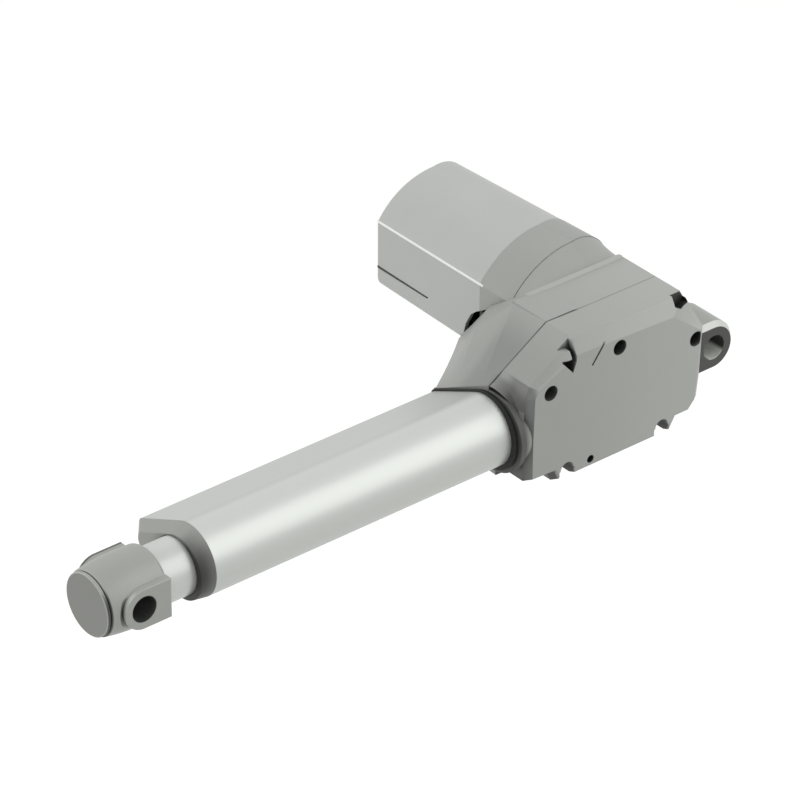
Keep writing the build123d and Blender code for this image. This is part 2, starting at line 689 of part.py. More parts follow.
def build_core():
    """Slotted armature core"""
    slot_bottom = CORE_RADIUS - 6.0
    body = motor_ring(CORE_RADIUS, SHAFT_RADIUS, CAN_REAR + 12.0, CAN_FRONT - 6.0)
    return body - winding_slots(slot_bottom, CAN_REAR + 12.0, CAN_FRONT - 6.0)


def winding_slots(bottom, start, end):
    """The slots of the armature core, as one shape"""
    cells = []
    for number in range(CORE_SLOTS):
        angle = 360.0 * number / CORE_SLOTS
        cell = Pos((bottom + CORE_RADIUS) / 2, 0) * Rectangle(CORE_RADIUS - bottom + 1.0, 3.4)
        cells.append(Rot(0, 0, angle) * cell)
    face = cells[0]
    for cell in cells[1:]:
        face += cell
    return along_y(Pos(WHEEL_MIDDLE, WORM_HEIGHT) * face, start, end)


def build_windings():
    """Copper windings: bundles in the slots joined by end turns"""
    bottom = CORE_RADIUS - 6.0
    start = CAN_REAR + 12.0
    end = CAN_FRONT - 6.0
    limit = motor_ring(CORE_RADIUS - 0.8, SHAFT_RADIUS, start, end)
    body = winding_slots(bottom, start, end) & limit
    for low, high in ((start - 4.0, start), (end, end + 4.0)):
        body += motor_ring(CORE_RADIUS - 1.6, SHAFT_RADIUS, low, high)
    return body


def build_magnet(side):
    """Curved field magnet on one side of the armature"""
    outer = CAN_RADIUS - CAN_WALL
    ring = motor_ring(outer, outer - MAGNET_THICK, CAN_REAR + 8.0, CAN_FRONT - 4.0)
    reach = CAN_RADIUS + 1.0
    near = 0.45 * CAN_RADIUS
    low = WORM_HEIGHT + min(side * near, side * reach)
    high = WORM_HEIGHT + max(side * near, side * reach)
    window = block(
        WHEEL_MIDDLE - reach, WHEEL_MIDDLE + reach, CAN_REAR, CAN_FRONT, low, high
    )
    return ring & window


def build_can():
    """Steel motor can with its closed front and the boss that sits in the flange"""
    body = motor_bar(CAN_RADIUS, CAN_REAR, CAN_FRONT)
    body -= motor_bar(CAN_RADIUS - CAN_WALL, CAN_REAR, CAN_FRONT - 1.5)
    body += motor_bar(9.0, CAN_FRONT, FLANGE_END + WALL)
    return body - motor_bar(SHAFT_RADIUS + 1.0, CAN_FRONT - 1.5, FLANGE_END + WALL)


def build_brush_holder():
    """Insulating plate with two carbon brushes at the commutator"""
    start = CAN_REAR + 1.0
    body = motor_ring(CAN_RADIUS - CAN_WALL, COMMUTATOR_RADIUS + 2.2, start, start + 1.6)
    for side in (-1, 1):
        near = WORM_HEIGHT + side * (COMMUTATOR_RADIUS + 0.1)
        far = WORM_HEIGHT + side * (CAN_RADIUS - 5.0)
        body += block(
            WHEEL_MIDDLE - 2.0, WHEEL_MIDDLE + 2.0, start, start + 5.0, min(near, far), max(near, far)
        )
    return body


def build_screw(place):
    """Cover screw with a socket head"""
    x, z = place
    seat = COVER_DEPTH - SCREW_DEPTH - SCREW_HEAD_LENGTH
    body = bar_y(SCREW_HEAD, seat, seat + SCREW_HEAD_LENGTH, x, z)
    body += bar_y(SCREW_RADIUS, seat - SCREW_LENGTH, seat, x, z)
    return body - bar_y(1.2, seat + 1.2, seat + SCREW_HEAD_LENGTH, x, z)


def build_tube():
    """Outer tube extrusion with the tip channel"""
    inner = tube_section(TUBE_RADIUS - TUBE_WALL, TUBE_TIP - TUBE_TIP_WALL)
    outer = tube_section(TUBE_RADIUS, TUBE_TIP)
    return along_x(outer, TUBE_REAR, TUBE_FRONT) - along_x(inner, TUBE_REAR, TUBE_FRONT)


def build_end_cap():
    """Tapered cap of the tube with a plug inside it and a dished mouth"""
    wide = at_x(tube_section(TUBE_RADIUS, TUBE_TIP), TUBE_FRONT)
    small = Pos(NOSE_SHIFT, 0) * tube_section(TUBE_RADIUS - NOSE_INSET, TUBE_TIP + NOSE_SHIFT - NOSE_TIP_INSET)
    body = loft([wide.face(), at_x(small, NOSE_FRONT).face()], ruled=True)
    plug = tube_section(TUBE_RADIUS - TUBE_WALL, TUBE_TIP - TUBE_TIP_WALL)
    body += along_x(plug, TUBE_FRONT - PLUG_LENGTH, TUBE_FRONT)
    body -= bar_x(ROD_RADIUS + 0.15, TUBE_FRONT - PLUG_LENGTH, NOSE_FRONT)
    body -= build_wiper_seat()
    return body


def build_wiper_seat():
    """Groove for the wiper behind the mouth of the cap"""
    return bar_x(ROD_RADIUS + 0.6, TUBE_FRONT - 3.0, TUBE_FRONT - 1.0)


def build_wiper():
    """Rod wiper ring in the cap"""
    return build_wiper_seat() - bar_x(ROD_RADIUS + FIT, TUBE_FRONT - 3.0, TUBE_FRONT - 1.0)


def build_gasket():
    """Rubber gasket between collar and tube"""
    rim = tube_section(TUBE_RADIUS + GASKET_RIM, TUBE_TIP + GASKET_SHIFT + 0.6)
    outer = Pos(GASKET_SHIFT, 0) * rim
    inner = tube_section(TUBE_RADIUS, TUBE_TIP)
    end = COLLAR_FRONT + GASKET_LENGTH
    return along_x(outer, COLLAR_FRONT, end) - along_x(inner, COLLAR_FRONT, end)


def pad_outline(half):
    """Side view of the raised pad round the front eye"""
    top = Line((BARREL_START + 0.6, half), (FRONT_EYE, half))
    nose = ThreePointArc((FRONT_EYE, half), (FRONT_EYE + half, 0), (FRONT_EYE, -half))
    under = Line((FRONT_EYE, -half), (BARREL_START + 0.6, -half))
    back = Line((BARREL_START + 0.6, -half), (BARREL_START + 0.6, half))
    return make_face([top, nose, under, back])


def build_rod_end():
    """Rod end: turned barrel, grooved front disc, raised pads round the eye, spigot"""
    back = (BARREL_START, BARREL_BACK)
    shoulder = (BARREL_START + 2.0, BARREL_RADIUS - 0.25)
    swell = (FRONT_EYE, BARREL_RADIUS)
    front = (BARREL_END - DISC_GROOVE - 0.3, BARREL_FRONT + 0.2)
    rise = ThreePointArc(back, (BARREL_START + 0.7, BARREL_BACK + 0.95), shoulder)
    side = Line(shoulder, swell)
    fall = ThreePointArc(swell, (FRONT_EYE + 8.0, BARREL_RADIUS - 0.6), front)
    lip = Polyline(
        front,
        (BARREL_END - DISC_GROOVE, DISC_RADIUS),
        (BARREL_END - DISC_GROOVE, DISC_RADIUS - 0.7),
        (BARREL_END, DISC_RADIUS - 0.7),
        (BARREL_END, DISC_RADIUS),
        (DISC_FRONT - 0.25, DISC_RADIUS),
        (DISC_FRONT, DISC_RADIUS - 0.25),
        (DISC_FRONT, 0),
        (ROD_END_INNER, 0),
        (ROD_END_INNER, ROD_BORE),
        (BARREL_START, ROD_BORE),
        back,
    )
    body = revolve(at_y(make_face([rise, side, fall, lip]), 0), axis=Axis.X)
    reach = BARREL_RADIUS + 1.0
    recess = pad_outline(PAD_HALF + PAD_GROOVE)
    for side in (-1, 1):
        near = side * PAD_FLOOR
        far = side * reach
        body -= along_y(recess, min(near, far), max(near, far))
    body += along_y(pad_outline(PAD_HALF), -PAD_REACH, PAD_REACH)
    body -= bar_y(EYE_RADIUS, -reach, reach, FRONT_EYE, 0)
    return body - build_rod_pin()


def build_rod_pin():
    """Pin that holds the rod end in the rod"""
    middle = ROD_END_INNER + 5.0
    pin = bar_z(PIN_RADIUS, -ROD_RADIUS - 1.0, ROD_RADIUS + 1.0, middle, 0)
    return pin & bar_x(ROD_RADIUS, middle - 3.0, middle + 3.0)


def build_rod():
    """Hollow inner rod"""
    body = ring_x(ROD_RADIUS, ROD_BORE, NUT_END, BARREL_START)
    return body - build_rod_pin() - build_nut_pin()


def build_nut_pin():
    """Pin that holds the drive nut in the rod"""
    middle = NUT_END + 7.0
    pin = bar_z(PIN_RADIUS, THREAD_RADIUS + 0.6, ROD_RADIUS + 1.0, middle, 0)
    return pin & bar_x(ROD_RADIUS, middle - 3.0, middle + 3.0)


def nut_tip():
    """How far the nut reaches into the tip channel of the tube"""
    return TUBE_RADIUS + 1.1


def build_drive_nut():
    """Drive nut: guided by the tube section, with a spigot in the rod"""
    section = tube_section(TUBE_RADIUS - TUBE_WALL - GAP, nut_tip())
    body = along_x(section, NUT_START, NUT_END)
    body += bar_x(ROD_BORE, NUT_END, NUT_END + NUT_SPIGOT)
    body -= bar_x(THREAD_RADIUS + FIT, NUT_START, NUT_END + NUT_SPIGOT)
    return body - build_nut_pin()


def build_striker():
    """Striker on the nut that works the limit switches"""
    tip = nut_tip()
    return block(NUT_START + 4.0, NUT_START + 10.0, -tip - 1.6, -tip, -1.2, 1.2)


def build_board():
    """Limit switch board in the tip channel"""
    tip = TUBE_TIP - TUBE_TIP_WALL
    return block(TUBE_REAR + 2.0, SPINDLE_END, -tip + 0.2, -tip + 6.4, -0.5, 0.5)


def build_switch(x):
    """Limit switch on the board with its button facing the nut"""
    tip = TUBE_TIP - TUBE_TIP_WALL
    body = block(x - 4.0, x + 4.0, -tip + 3.2, -tip + 6.2, 0.5, 2.6)
    return body + block(x - 0.8, x + 0.8, -tip + 6.2, -tip + 7.0, 1.0, 2.0)


parts = {
    "gear_housing": build_housing(),
    "gear_cover": build_cover(),
    "motor_flange": build_flange(),
    "motor_housing": build_case(),
    "cable_socket": build_socket(),
    "outer_tube": build_tube(),
    "tube_gasket": build_gasket(),
    "tube_end_cap": build_end_cap(),
    "rod_wiper": build_wiper(),
    "rear_lug": build_lug(),
    "thrust_plate": ring_x(
        BEARING_RADIUS - 1.5, JOURNAL_RADIUS + 1.0, PLATE_START, BEARING_START
    ),
    "bearing_outer_ring": ring_x(
        BEARING_RADIUS, BEARING_RADIUS - RING_THICK, BEARING_START, SPACER_START
    ),
    "bearing_balls": build_bearing_balls(),
    "bearing_inner_ring": ring_x(
        JOURNAL_RADIUS + RING_THICK, JOURNAL_RADIUS, BEARING_START, SPACER_START
    ),
    "wheel_spacer": ring_x(
        JOURNAL_RADIUS + 2.0, JOURNAL_RADIUS, SPACER_START, WHEEL_START
    ),
    "spindle_bush": ring_x(
        THREAD_RADIUS + 2.5, SEAT_RADIUS - 0.5 + FIT, BUSH_START, BUSH_END
    ),
    "spindle": build_spindle(),
    "worm_wheel": build_wheel(),
    "wheel_key": build_key(),
    "spindle_washer": ring_x(
        ROD_BORE - 0.4, WASHER_SEAT, SPINDLE_END - WASHER_THICK, SPINDLE_END
    ),
    "worm_shaft": build_worm_shaft(),
    "armature_core": build_core(),
    "armature_windings": build_windings(),
    "commutator": motor_ring(
        COMMUTATOR_RADIUS, SHAFT_RADIUS, CAN_REAR + 0.8, CAN_REAR + 6.8
    ),
    "motor_can": build_can(),
    "magnet_upper": build_magnet(1),
    "magnet_lower": build_magnet(-1),
    "brush_holder": build_brush_holder(),
    "motor_end_bell": motor_ring(
        CAN_RADIUS, COMMUTATOR_RADIUS, CAN_REAR - BELL_THICK, CAN_REAR
    ),
    "motor_bearing_rear": motor_ring(
        COMMUTATOR_RADIUS, SHAFT_RADIUS + FIT, CAN_REAR - BELL_THICK, CAN_REAR
    ),
    "worm_bearing_motor_side": motor_ring(
        SHAFT_RADIUS + 3.5, SHAFT_RADIUS + FIT, -CAVITY_SIDE - 4.5, -CAVITY_SIDE
    ),
    "worm_bearing_cover_side": motor_ring(
        SHAFT_RADIUS + 3.0, SHAFT_RADIUS + FIT, CAVITY_SIDE, COVER_DEPTH - 2.0
    ),
    "rubber_damper": motor_ring(
        CAN_RADIUS - 6.0, CAN_RADIUS - 9.5, MOTOR_END + CASE_WALL, CAN_REAR - BELL_THICK
    ),
    "rod": build_rod(),
    "rod_end": build_rod_end(),
    "rod_pin": build_rod_pin(),
    "drive_nut": build_drive_nut(),
    "nut_pin": build_nut_pin(),
    "striker": build_striker(),
    "limit_switch_board": build_board(),
    "limit_switch_in": build_switch(NUT_START + 3.0),
    "limit_switch_out": build_switch(NUT_START + STROKE + 11.0),
}
screw_names = ["front", "top", "rear", "lower_front", "lower_rear"]
for screw_name, screw_place in zip(screw_names, SCREW_PLACES):
    parts["cover_screw_" + screw_name] = build_screw(screw_place)

os.makedirs("parts", exist_ok=True)
for name, shape in parts.items():
    export_step(shape, os.path.join("parts", name + ".step"))
    print(name, len(shape.solids()), round(shape.volume, 1))
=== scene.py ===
"""Looks of an electric linear actuator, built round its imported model.

The solids stay where the model puts them. This script gives every piece its finish, adds
the small pieces that the solids leave out, and lights the whole like a pale studio shot.
"""
import logging
import math
from dataclasses import dataclass, field
from enum import Enum

import bpy
from mathutils import Matrix, Vector


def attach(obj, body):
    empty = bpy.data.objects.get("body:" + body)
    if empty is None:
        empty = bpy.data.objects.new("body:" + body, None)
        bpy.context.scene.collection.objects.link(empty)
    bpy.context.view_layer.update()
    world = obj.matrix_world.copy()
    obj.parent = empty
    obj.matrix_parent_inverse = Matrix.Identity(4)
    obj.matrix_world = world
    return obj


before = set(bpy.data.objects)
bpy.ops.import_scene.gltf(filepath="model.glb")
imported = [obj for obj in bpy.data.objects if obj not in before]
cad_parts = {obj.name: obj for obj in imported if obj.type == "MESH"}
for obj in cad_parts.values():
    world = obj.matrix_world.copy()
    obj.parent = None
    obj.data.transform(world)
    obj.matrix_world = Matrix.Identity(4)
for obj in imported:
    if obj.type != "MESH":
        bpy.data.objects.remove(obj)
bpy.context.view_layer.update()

log = logging.getLogger("actuator")
MM = 0.001
Colour = tuple[float, float, float]
Triple = tuple[float, float, float]

# Directions of the frame, and the two rounds that a step is measured in.
FORWARD: Triple = (1.0, 0.0, 0.0)
REARWARD: Triple = (-1.0, 0.0, 0.0)
COVER_SIDE: Triple = (0.0, 1.0, 0.0)
MOTOR_SIDE: Triple = (0.0, -1.0, 0.0)
UP: Triple = (0.0, 0.0, 1.0)
DOWN: Triple = (0.0, 0.0, -1.0)
ROUND_TUBE: Triple = (0.0, 1.0, 1.0)
ROUND_EYE: Triple = (1.0, 0.0, 1.0)

# What all finishes share: shades of film, of the painted shade in recesses and of the joint line,
# the spread of the gloss, and the scales of the fine grain and the slow mottle.
FILM_SHADE = 0.45
RECESS_SHADE = 0.02
JOINT_SHADE = 0.1
GLOSS_SPREAD = 0.04
GRAIN_SCALE = 900.0
MOTTLE_SCALE = 45.0

COVER_SCREWS = ("front", "top", "rear", "lower_front", "lower_rear")

# Rings in a bar's dome, corners of its section, and the width left at its tip in millimetres.
DOME_RINGS = 4
BAR_SIDES = 14
BAR_TIP = 0.01


def linear(red: int, green: int, blue: int) -> Colour:
    """Turn a screen colour into a scene colour.

    Args:
        red: red, 0 to 255.
        green: green, 0 to 255.
        blue: blue, 0 to 255.

    Returns:
        The colour in linear light.
    """
    channels = []
    for value in (red, green, blue):
        share = value / 255
        channels.append(share / 12.92 if share <= 0.04045 else ((share + 0.055) / 1.055) ** 2.4)
    return tuple(channels)


class Surface(Enum):
    """How a finish breaks up over its surface."""

    GRAINED = "grained"
    STREAKED = "streaked"


class Measure(Enum):
    """What a soft step is measured on."""

    ALONG = "along"
    ROUND = "round"
    FACING = "facing"


class Wiring:
    """Adds nodes to a tree and joins them by socket name."""

    def __init__(self, tree: bpy.types.NodeTree) -> None:
        """Keep the tree that the nodes go into."""
        self.tree = tree

    def add(self, kind: str, settings: dict | None = None, **sockets: object) -> bpy.types.Node:
        """Add a node, then set or link its inputs.

        Args:
            kind: Blender's name of the node type.
            settings: node properties to set.
            sockets: values or sockets by input name, with _ for a space.

        Returns:
            The new node.
        """
        node = self.tree.nodes.new(kind)
        for name, value in (settings or {}).items():
            setattr(node, name, value)
        for name, value in sockets.items():
            self.feed(node, name.replace("_", " "), value)
        return node

    def feed(self, node: bpy.types.Node, name: str, value: object) -> None:
        """Set one input, or link it where the value is a socket.

        Args:
            node: the node that takes the value.
            name: the input's name, or its number as text.
            value: a number, a colour or an output socket.
        """
        socket = node.inputs[int(name)] if name.isdigit() else node.inputs[name]
        if isinstance(value, bpy.types.NodeSocket):
            self.tree.links.new(value, socket)
        elif isinstance(value, tuple) and len(value) == 3 and socket.type == "RGBA":
            socket.default_value = (*value, 1.0)
        else:
            socket.default_value = value

    def math(self, operation: str, first: object, second: object = 0.0) -> bpy.types.NodeSocket:
        """Join two values with one sum.

        Args:
            operation: the sum, in Blender's words.
            first: a number or a socket.
            second: a number or a socket.

        Returns:
            The socket that holds the result.
        """
        node = self.tree.nodes.new("ShaderNodeMath")
        node.operation = operation
        self.feed(node, "0", first)
        self.feed(node, "1", second)
        return node.outputs[0]

    def vector(self, operation: str, first: object, second: object = None) -> bpy.types.Node:
        """Join two vectors with one sum.

        Args:
            operation: the sum, in Blender's words.
            first: a vector or a socket.
            second: a vector or a socket, where the sum takes one.

        Returns:
            The node that holds the result.
        """
        node = self.add("ShaderNodeVectorMath", {"operation": operation})
        self.feed(node, "0", first)
        if second is not None:
            self.feed(node, "1", second)
        return node

    def smooth(self, value: object, start: object, end: object) -> bpy.types.NodeSocket:
        """Turn a value into a soft step from 0 at start to 1 at end.

        Args:
            value: the value.
            start: where the step begins.
            end: where it is full, above or below start.

        Returns:
            The socket of the step.
        """
        ramp = self.add(
            "ShaderNodeMapRange", {"interpolation_type": "SMOOTHSTEP"},
            Value=value, From_Min=start, From_Max=end,
        )
        return ramp.outputs["Result"]

    def group(self, tree: bpy.types.NodeTree, **inputs: object) -> bpy.types.Node:
        """Place a shared group.

        Args:
            tree: the group.
            inputs: values by input name, with _ for a space.

        Returns:
            The placed node.
        """
        return self.add("ShaderNodeGroup", {"node_tree": tree}, **inputs)

    def blend(self, share: object, low: object, high: object) -> bpy.types.NodeSocket:
        """Mix two colours.

        Args:
            share: how much of the second colour shows.
            low: the colour at 0.
            high: the colour at 1.

        Returns:
            The mixed colour.
        """
        node = self.tree.nodes.new("ShaderNodeMix")
        node.data_type = "RGBA"
        node.clamp_factor = True
        self.feed(node, "0", share)
        for number, value in ((6, low), (7, high)):
            self.feed(node, str(number), value)
        return node.outputs[2]

    def spread(self, value: object, low: float, high: float) -> bpy.types.NodeSocket:
        """Stretch a mask from 0..1 to low..high.

        Args:
            value: the mask.
            low: result at 0.
            high: result at 1.

        Returns:
            The stretched value.
        """
        node = self.tree.nodes.new("ShaderNodeMapRange")
        self.feed(node, "Value", value)
        self.feed(node, "To Min", low)
        self.feed(node, "To Max", high)
        return node.outputs["Result"]


class EffectGroups:
    """Shader groups that more than one finish uses, each made once."""

    edge_samples: int = 6
    film_samples: int = 6
    recess_samples: int = 8
    slow_share: float = 0.05
    face_slant: float = 0.97
    chamfer_slant: float = 0.35
    seam_core: float = 1.5
    seam_faint: float = 0.35

    def __init__(self) -> None:
        """Make the groups."""
        self.soft_edges = self._soft_edges()
        self.grain = self._grain()
        self.streaks = self._streaks()
        self.settled_dust = self._settled_dust()
        self.hollows = self._hollows()
        self.facing = self._facing()
        self.seam = self._seam()
        self.steps = {kind: self._step(kind) for kind in Measure}

    @staticmethod
    def _start(name: str, inputs: dict[str, object], outputs: dict[str, str]) -> Wiring:
        """Open a group with its sockets.

        Args:
            name: the group's name.
            inputs: input names with their first values.
            outputs: output names with their socket types.

        Returns:
            The wiring of the new group.
        """
        tree = bpy.data.node_groups.new(name, "ShaderNodeTree")
        for label, value in inputs.items():
            kind = "NodeSocketVector" if isinstance(value, tuple) else "NodeSocketFloat"
            socket = tree.interface.new_socket(label, in_out="INPUT", socket_type=kind)
            socket.default_value = value
        for label, kind in outputs.items():
            tree.interface.new_socket(label, in_out="OUTPUT", socket_type=kind)
        return Wiring(tree)

    def _soft_edges(self) -> bpy.types.NodeTree:
        """Rounded edge normals, and a mask of where the edges are.

        Returns:
            The group, with outputs Normal and Edge.
        """
        wires = self._start(
            "soft_edges",
            {"Radius": 0.0005, "Gain": 6.0},
            {"Normal": "NodeSocketVector", "Edge": "NodeSocketFloat"},
        )
        given = wires.add("NodeGroupInput")
        rounded = wires.add(
            "ShaderNodeBevel", {"samples": self.edge_samples}, Radius=given.outputs["Radius"]
        )
        flat = wires.add("ShaderNodeNewGeometry")
        facing = wires.vector("DOT_PRODUCT", rounded.outputs[0], flat.outputs["Normal"])
        turned = wires.math("SUBTRACT", 1.0, facing.outputs["Value"])
        edge = wires.spread(wires.math("MULTIPLY", turned, given.outputs["Gain"]), 0.0, 1.0)
        wires.add("NodeGroupOutput", Normal=rounded.outputs[0], Edge=edge)
        return wires.tree

    def _grain(self) -> bpy.types.NodeTree:
        """Fine even grain with a slow mottle under it.

        Returns:
            The group, with outputs Height and Mottle.
        """
        wires = self._start(
            "grain",
            {"Scale": GRAIN_SCALE, "Mottle Scale": MOTTLE_SCALE},
            {"Height": "NodeSocketFloat", "Mottle": "NodeSocketFloat"},
        )
        given = wires.add("NodeGroupInput")
        place = wires.add("ShaderNodeTexCoord").outputs["Object"]
        fine = wires.add(
            "ShaderNodeTexNoise",
            Vector=place, Scale=given.outputs["Scale"], Detail=3.0, Roughness=0.6,
        )
        slow = wires.add(
            "ShaderNodeTexNoise", Vector=place, Scale=given.outputs["Mottle Scale"], Detail=2.0
        )
        wires.add("NodeGroupOutput", Height=fine.outputs[0], Mottle=slow.outputs[0])
        return wires.tree

    def _streaks(self) -> bpy.types.NodeTree:
        """Long fine marks along X, as drawing or turning leaves.

        Returns:
            The group, with outputs Height and Mottle.
        """
        wires = self._start(
            "streaks",
            {"Scale": GRAIN_SCALE, "Stretch": 0.02},
            {"Height": "NodeSocketFloat", "Mottle": "NodeSocketFloat"},
        )
        given = wires.add("NodeGroupInput")
        place = wires.add("ShaderNodeTexCoord").outputs["Object"]
        parts = wires.add("ShaderNodeSeparateXYZ", Vector=place)
        along = wires.math("MULTIPLY", parts.outputs["X"], given.outputs["Stretch"])
        pulled = wires.add(
            "ShaderNodeCombineXYZ", X=along, Y=parts.outputs["Y"], Z=parts.outputs["Z"]
        )
        fine = wires.add(
            "ShaderNodeTexNoise",
            Vector=pulled.outputs[0], Scale=given.outputs["Scale"], Detail=2.0,
        )
        slow_scale = wires.math("MULTIPLY", given.outputs["Scale"], self.slow_share)
        slow = wires.add("ShaderNodeTexNoise", Vector=pulled.outputs[0], Scale=slow_scale)
        wires.add("NodeGroupOutput", Height=fine.outputs[0], Mottle=slow.outputs[0])
        return wires.tree

    def _settled_dust(self) -> bpy.types.NodeTree:
        """A mask of corners and hollows where handling leaves a film.

        Returns:
            The group, with output Mask.
        """
        wires = self._start("settled_dust", {"Reach": 0.004}, {"Mask": "NodeSocketFloat"})
        given = wires.add("NodeGroupInput")
        open_sky = wires.add(
            "ShaderNodeAmbientOcclusion", {"samples": self.film_samples},
            Distance=given.outputs["Reach"],
        )
        closed = wires.math("SUBTRACT", 1.0, open_sky.outputs["AO"])
        place = wires.add("ShaderNodeTexCoord").outputs["Object"]
        patches = wires.add("ShaderNodeTexNoise", Vector=place, Scale=160.0, Detail=3.0)
        wires.add("NodeGroupOutput", Mask=wires.math("MULTIPLY", closed, patches.outputs[0]))
        return wires.tree

    def _hollows(self) -> bpy.types.NodeTree:
        """A mask of recesses, gaps and inner corners that little light reaches.

        Returns:
            The group, with output Mask, 0 in the open and 1 deep inside.
        """
        wires = self._start(
            "hollows", {"Reach": 0.01, "Open": 0.85, "Closed": 0.3}, {"Mask": "NodeSocketFloat"}
        )
        given = wires.add("NodeGroupInput")
        sky = wires.add(
            "ShaderNodeAmbientOcclusion", {"samples": self.recess_samples},
            Distance=given.outputs["Reach"],
        )
        deep = wires.smooth(sky.outputs["AO"], given.outputs["Open"], given.outputs["Closed"])
        wires.add("NodeGroupOutput", Mask=deep)
        return wires.tree

    def _facing(self) -> bpy.types.NodeTree:
        """Masks of the faces square to one axis, and of the chamfers next to them, for painted
        shade and highlight.

        Returns:
            The group, with outputs Face and Chamfer.
        """
        wires = self._start(
            "facing",
            {"Along X": 0.0, "Along Y": 1.0},
            {"Face": "NodeSocketFloat", "Chamfer": "NodeSocketFloat"},
        )
        given = wires.add("NodeGroupInput")
        place = wires.add("ShaderNodeTexCoord")
        parts = wires.add("ShaderNodeSeparateXYZ", Vector=place.outputs["Normal"])
        across = wires.math("MULTIPLY", parts.outputs["X"], given.outputs["Along X"])
        beside = wires.math("MULTIPLY", parts.outputs["Y"], given.outputs["Along Y"])
        slant = wires.math("ABSOLUTE", wires.math("ADD", across, beside))
        face = wires.math("GREATER_THAN", slant, self.face_slant)
        leaning = wires.math("GREATER_THAN", slant, self.chamfer_slant)
        chamfer = wires.math("SUBTRACT", leaning, face)
        wires.add("NodeGroupOutput", Face=face, Chamfer=chamfer)
        return wires.tree

    def _seam(self) -> bpy.types.NodeTree:
        """A mask of the joint line in a plane square to Y, with a soft side.

        Returns:
            The group, with output Mask.
        """
        wires = self._start(
            "seam", {"Place": 0.0, "Half Width": 0.0003, "Start": 0.055, "Fade": 0.02},
            {"Mask": "NodeSocketFloat"},
        )
        given = wires.add("NodeGroupInput")
        place = wires.add("ShaderNodeTexCoord").outputs["Object"]
        parts = wires.add("ShaderNodeSeparateXYZ", Vector=place)
        offset = wires.math("SUBTRACT", parts.outputs["Y"], given.outputs["Place"])
        away = wires.math("ABSOLUTE", offset)
        share = wires.math("DIVIDE", away, given.outputs["Half Width"])
        line = wires.math("SUBTRACT", self.seam_core, share)
        along = wires.math("SUBTRACT", parts.outputs["X"], given.outputs["Start"])
        strong = wires.math("DIVIDE", along, given.outputs["Fade"])
        wires.add("NodeGroupOutput", Mask=wires.math(
            "MULTIPLY", wires.spread(line, 0.0, 1.0), wires.spread(strong, self.seam_faint, 1.0)
        ))
        return wires.tree

    def _step(self, kind: Measure) -> bpy.types.NodeTree:
        """A soft step from 0 to 1 over the model's own space.

        Args:
            kind: what the step is measured on.

        Returns:
            The group, with output Mask.
        """
        wires = self._start(
            "step_" + kind.value,
            {"Centre": (0.0, 0.0, 0.0), "Weights": FORWARD, "Start": 0.0, "End": 1.0},
            {"Mask": "NodeSocketFloat"},
        )
        given = wires.add("NodeGroupInput")
        coordinates = wires.add("ShaderNodeTexCoord")
        source = coordinates.outputs["Normal" if kind is Measure.FACING else "Object"]
        away = wires.vector("SUBTRACT", source, given.outputs["Centre"]).outputs[0]
        weights = given.outputs["Weights"]
        if kind is Measure.ROUND:
            flat = wires.vector("MULTIPLY", away, weights)
            value = wires.vector("LENGTH", flat.outputs[0]).outputs["Value"]
        else:
            value = wires.vector("DOT_PRODUCT", away, weights).outputs["Value"]
        mask = wires.smooth(value, given.outputs["Start"], given.outputs["End"])
        wires.add("NodeGroupOutput", Mask=mask)
        return wires.tree


@dataclass(frozen=True)
class Step:
    """One soft step of a patch, in millimetres, or in shares of 1 for a facing."""

    kind: Measure
    weights: Triple
    start: float
    end: float
    centre: Triple = (0.0, 0.0, 0.0)

    def mask(self, wires: Wiring, groups: EffectGroups) -> bpy.types.NodeSocket:
        """Place the group of this step.

        Args:
            wires: wiring of the material.
            groups: the shared effect groups.

        Returns:
            The socket of its mask.
        """
        unit = 1.0 if self.kind is Measure.FACING else MM
        node = wires.group(
            groups.steps[self.kind],
            Centre=tuple(unit * value for value in self.centre),
            Weights=self.weights,
            Start=unit * self.start,
            End=unit * self.end,
        )
        return node.outputs["Mask"]


@dataclass(frozen=True)
class Patch:
    """A region of a finish with painted shade or painted light in its colour.

    The shade multiplies the finish's colour, and the strength is how much of it shows.
    """

    shade: float
    strength: float
    steps: tuple[Step, ...]

    def mask(self, wires: Wiring, groups: EffectGroups) -> bpy.types.NodeSocket:
        """Join the steps into the share of this patch.

        Args:
            wires: wiring of the material.
            groups: the shared effect groups.

        Returns:
            The socket of the share.
        """
        share = wires.math("MULTIPLY", self.steps[0].mask(wires, groups), self.strength)
        for step in self.steps[1:]:
            share = wires.math("MULTIPLY", share, step.mask(wires, groups))
        return share


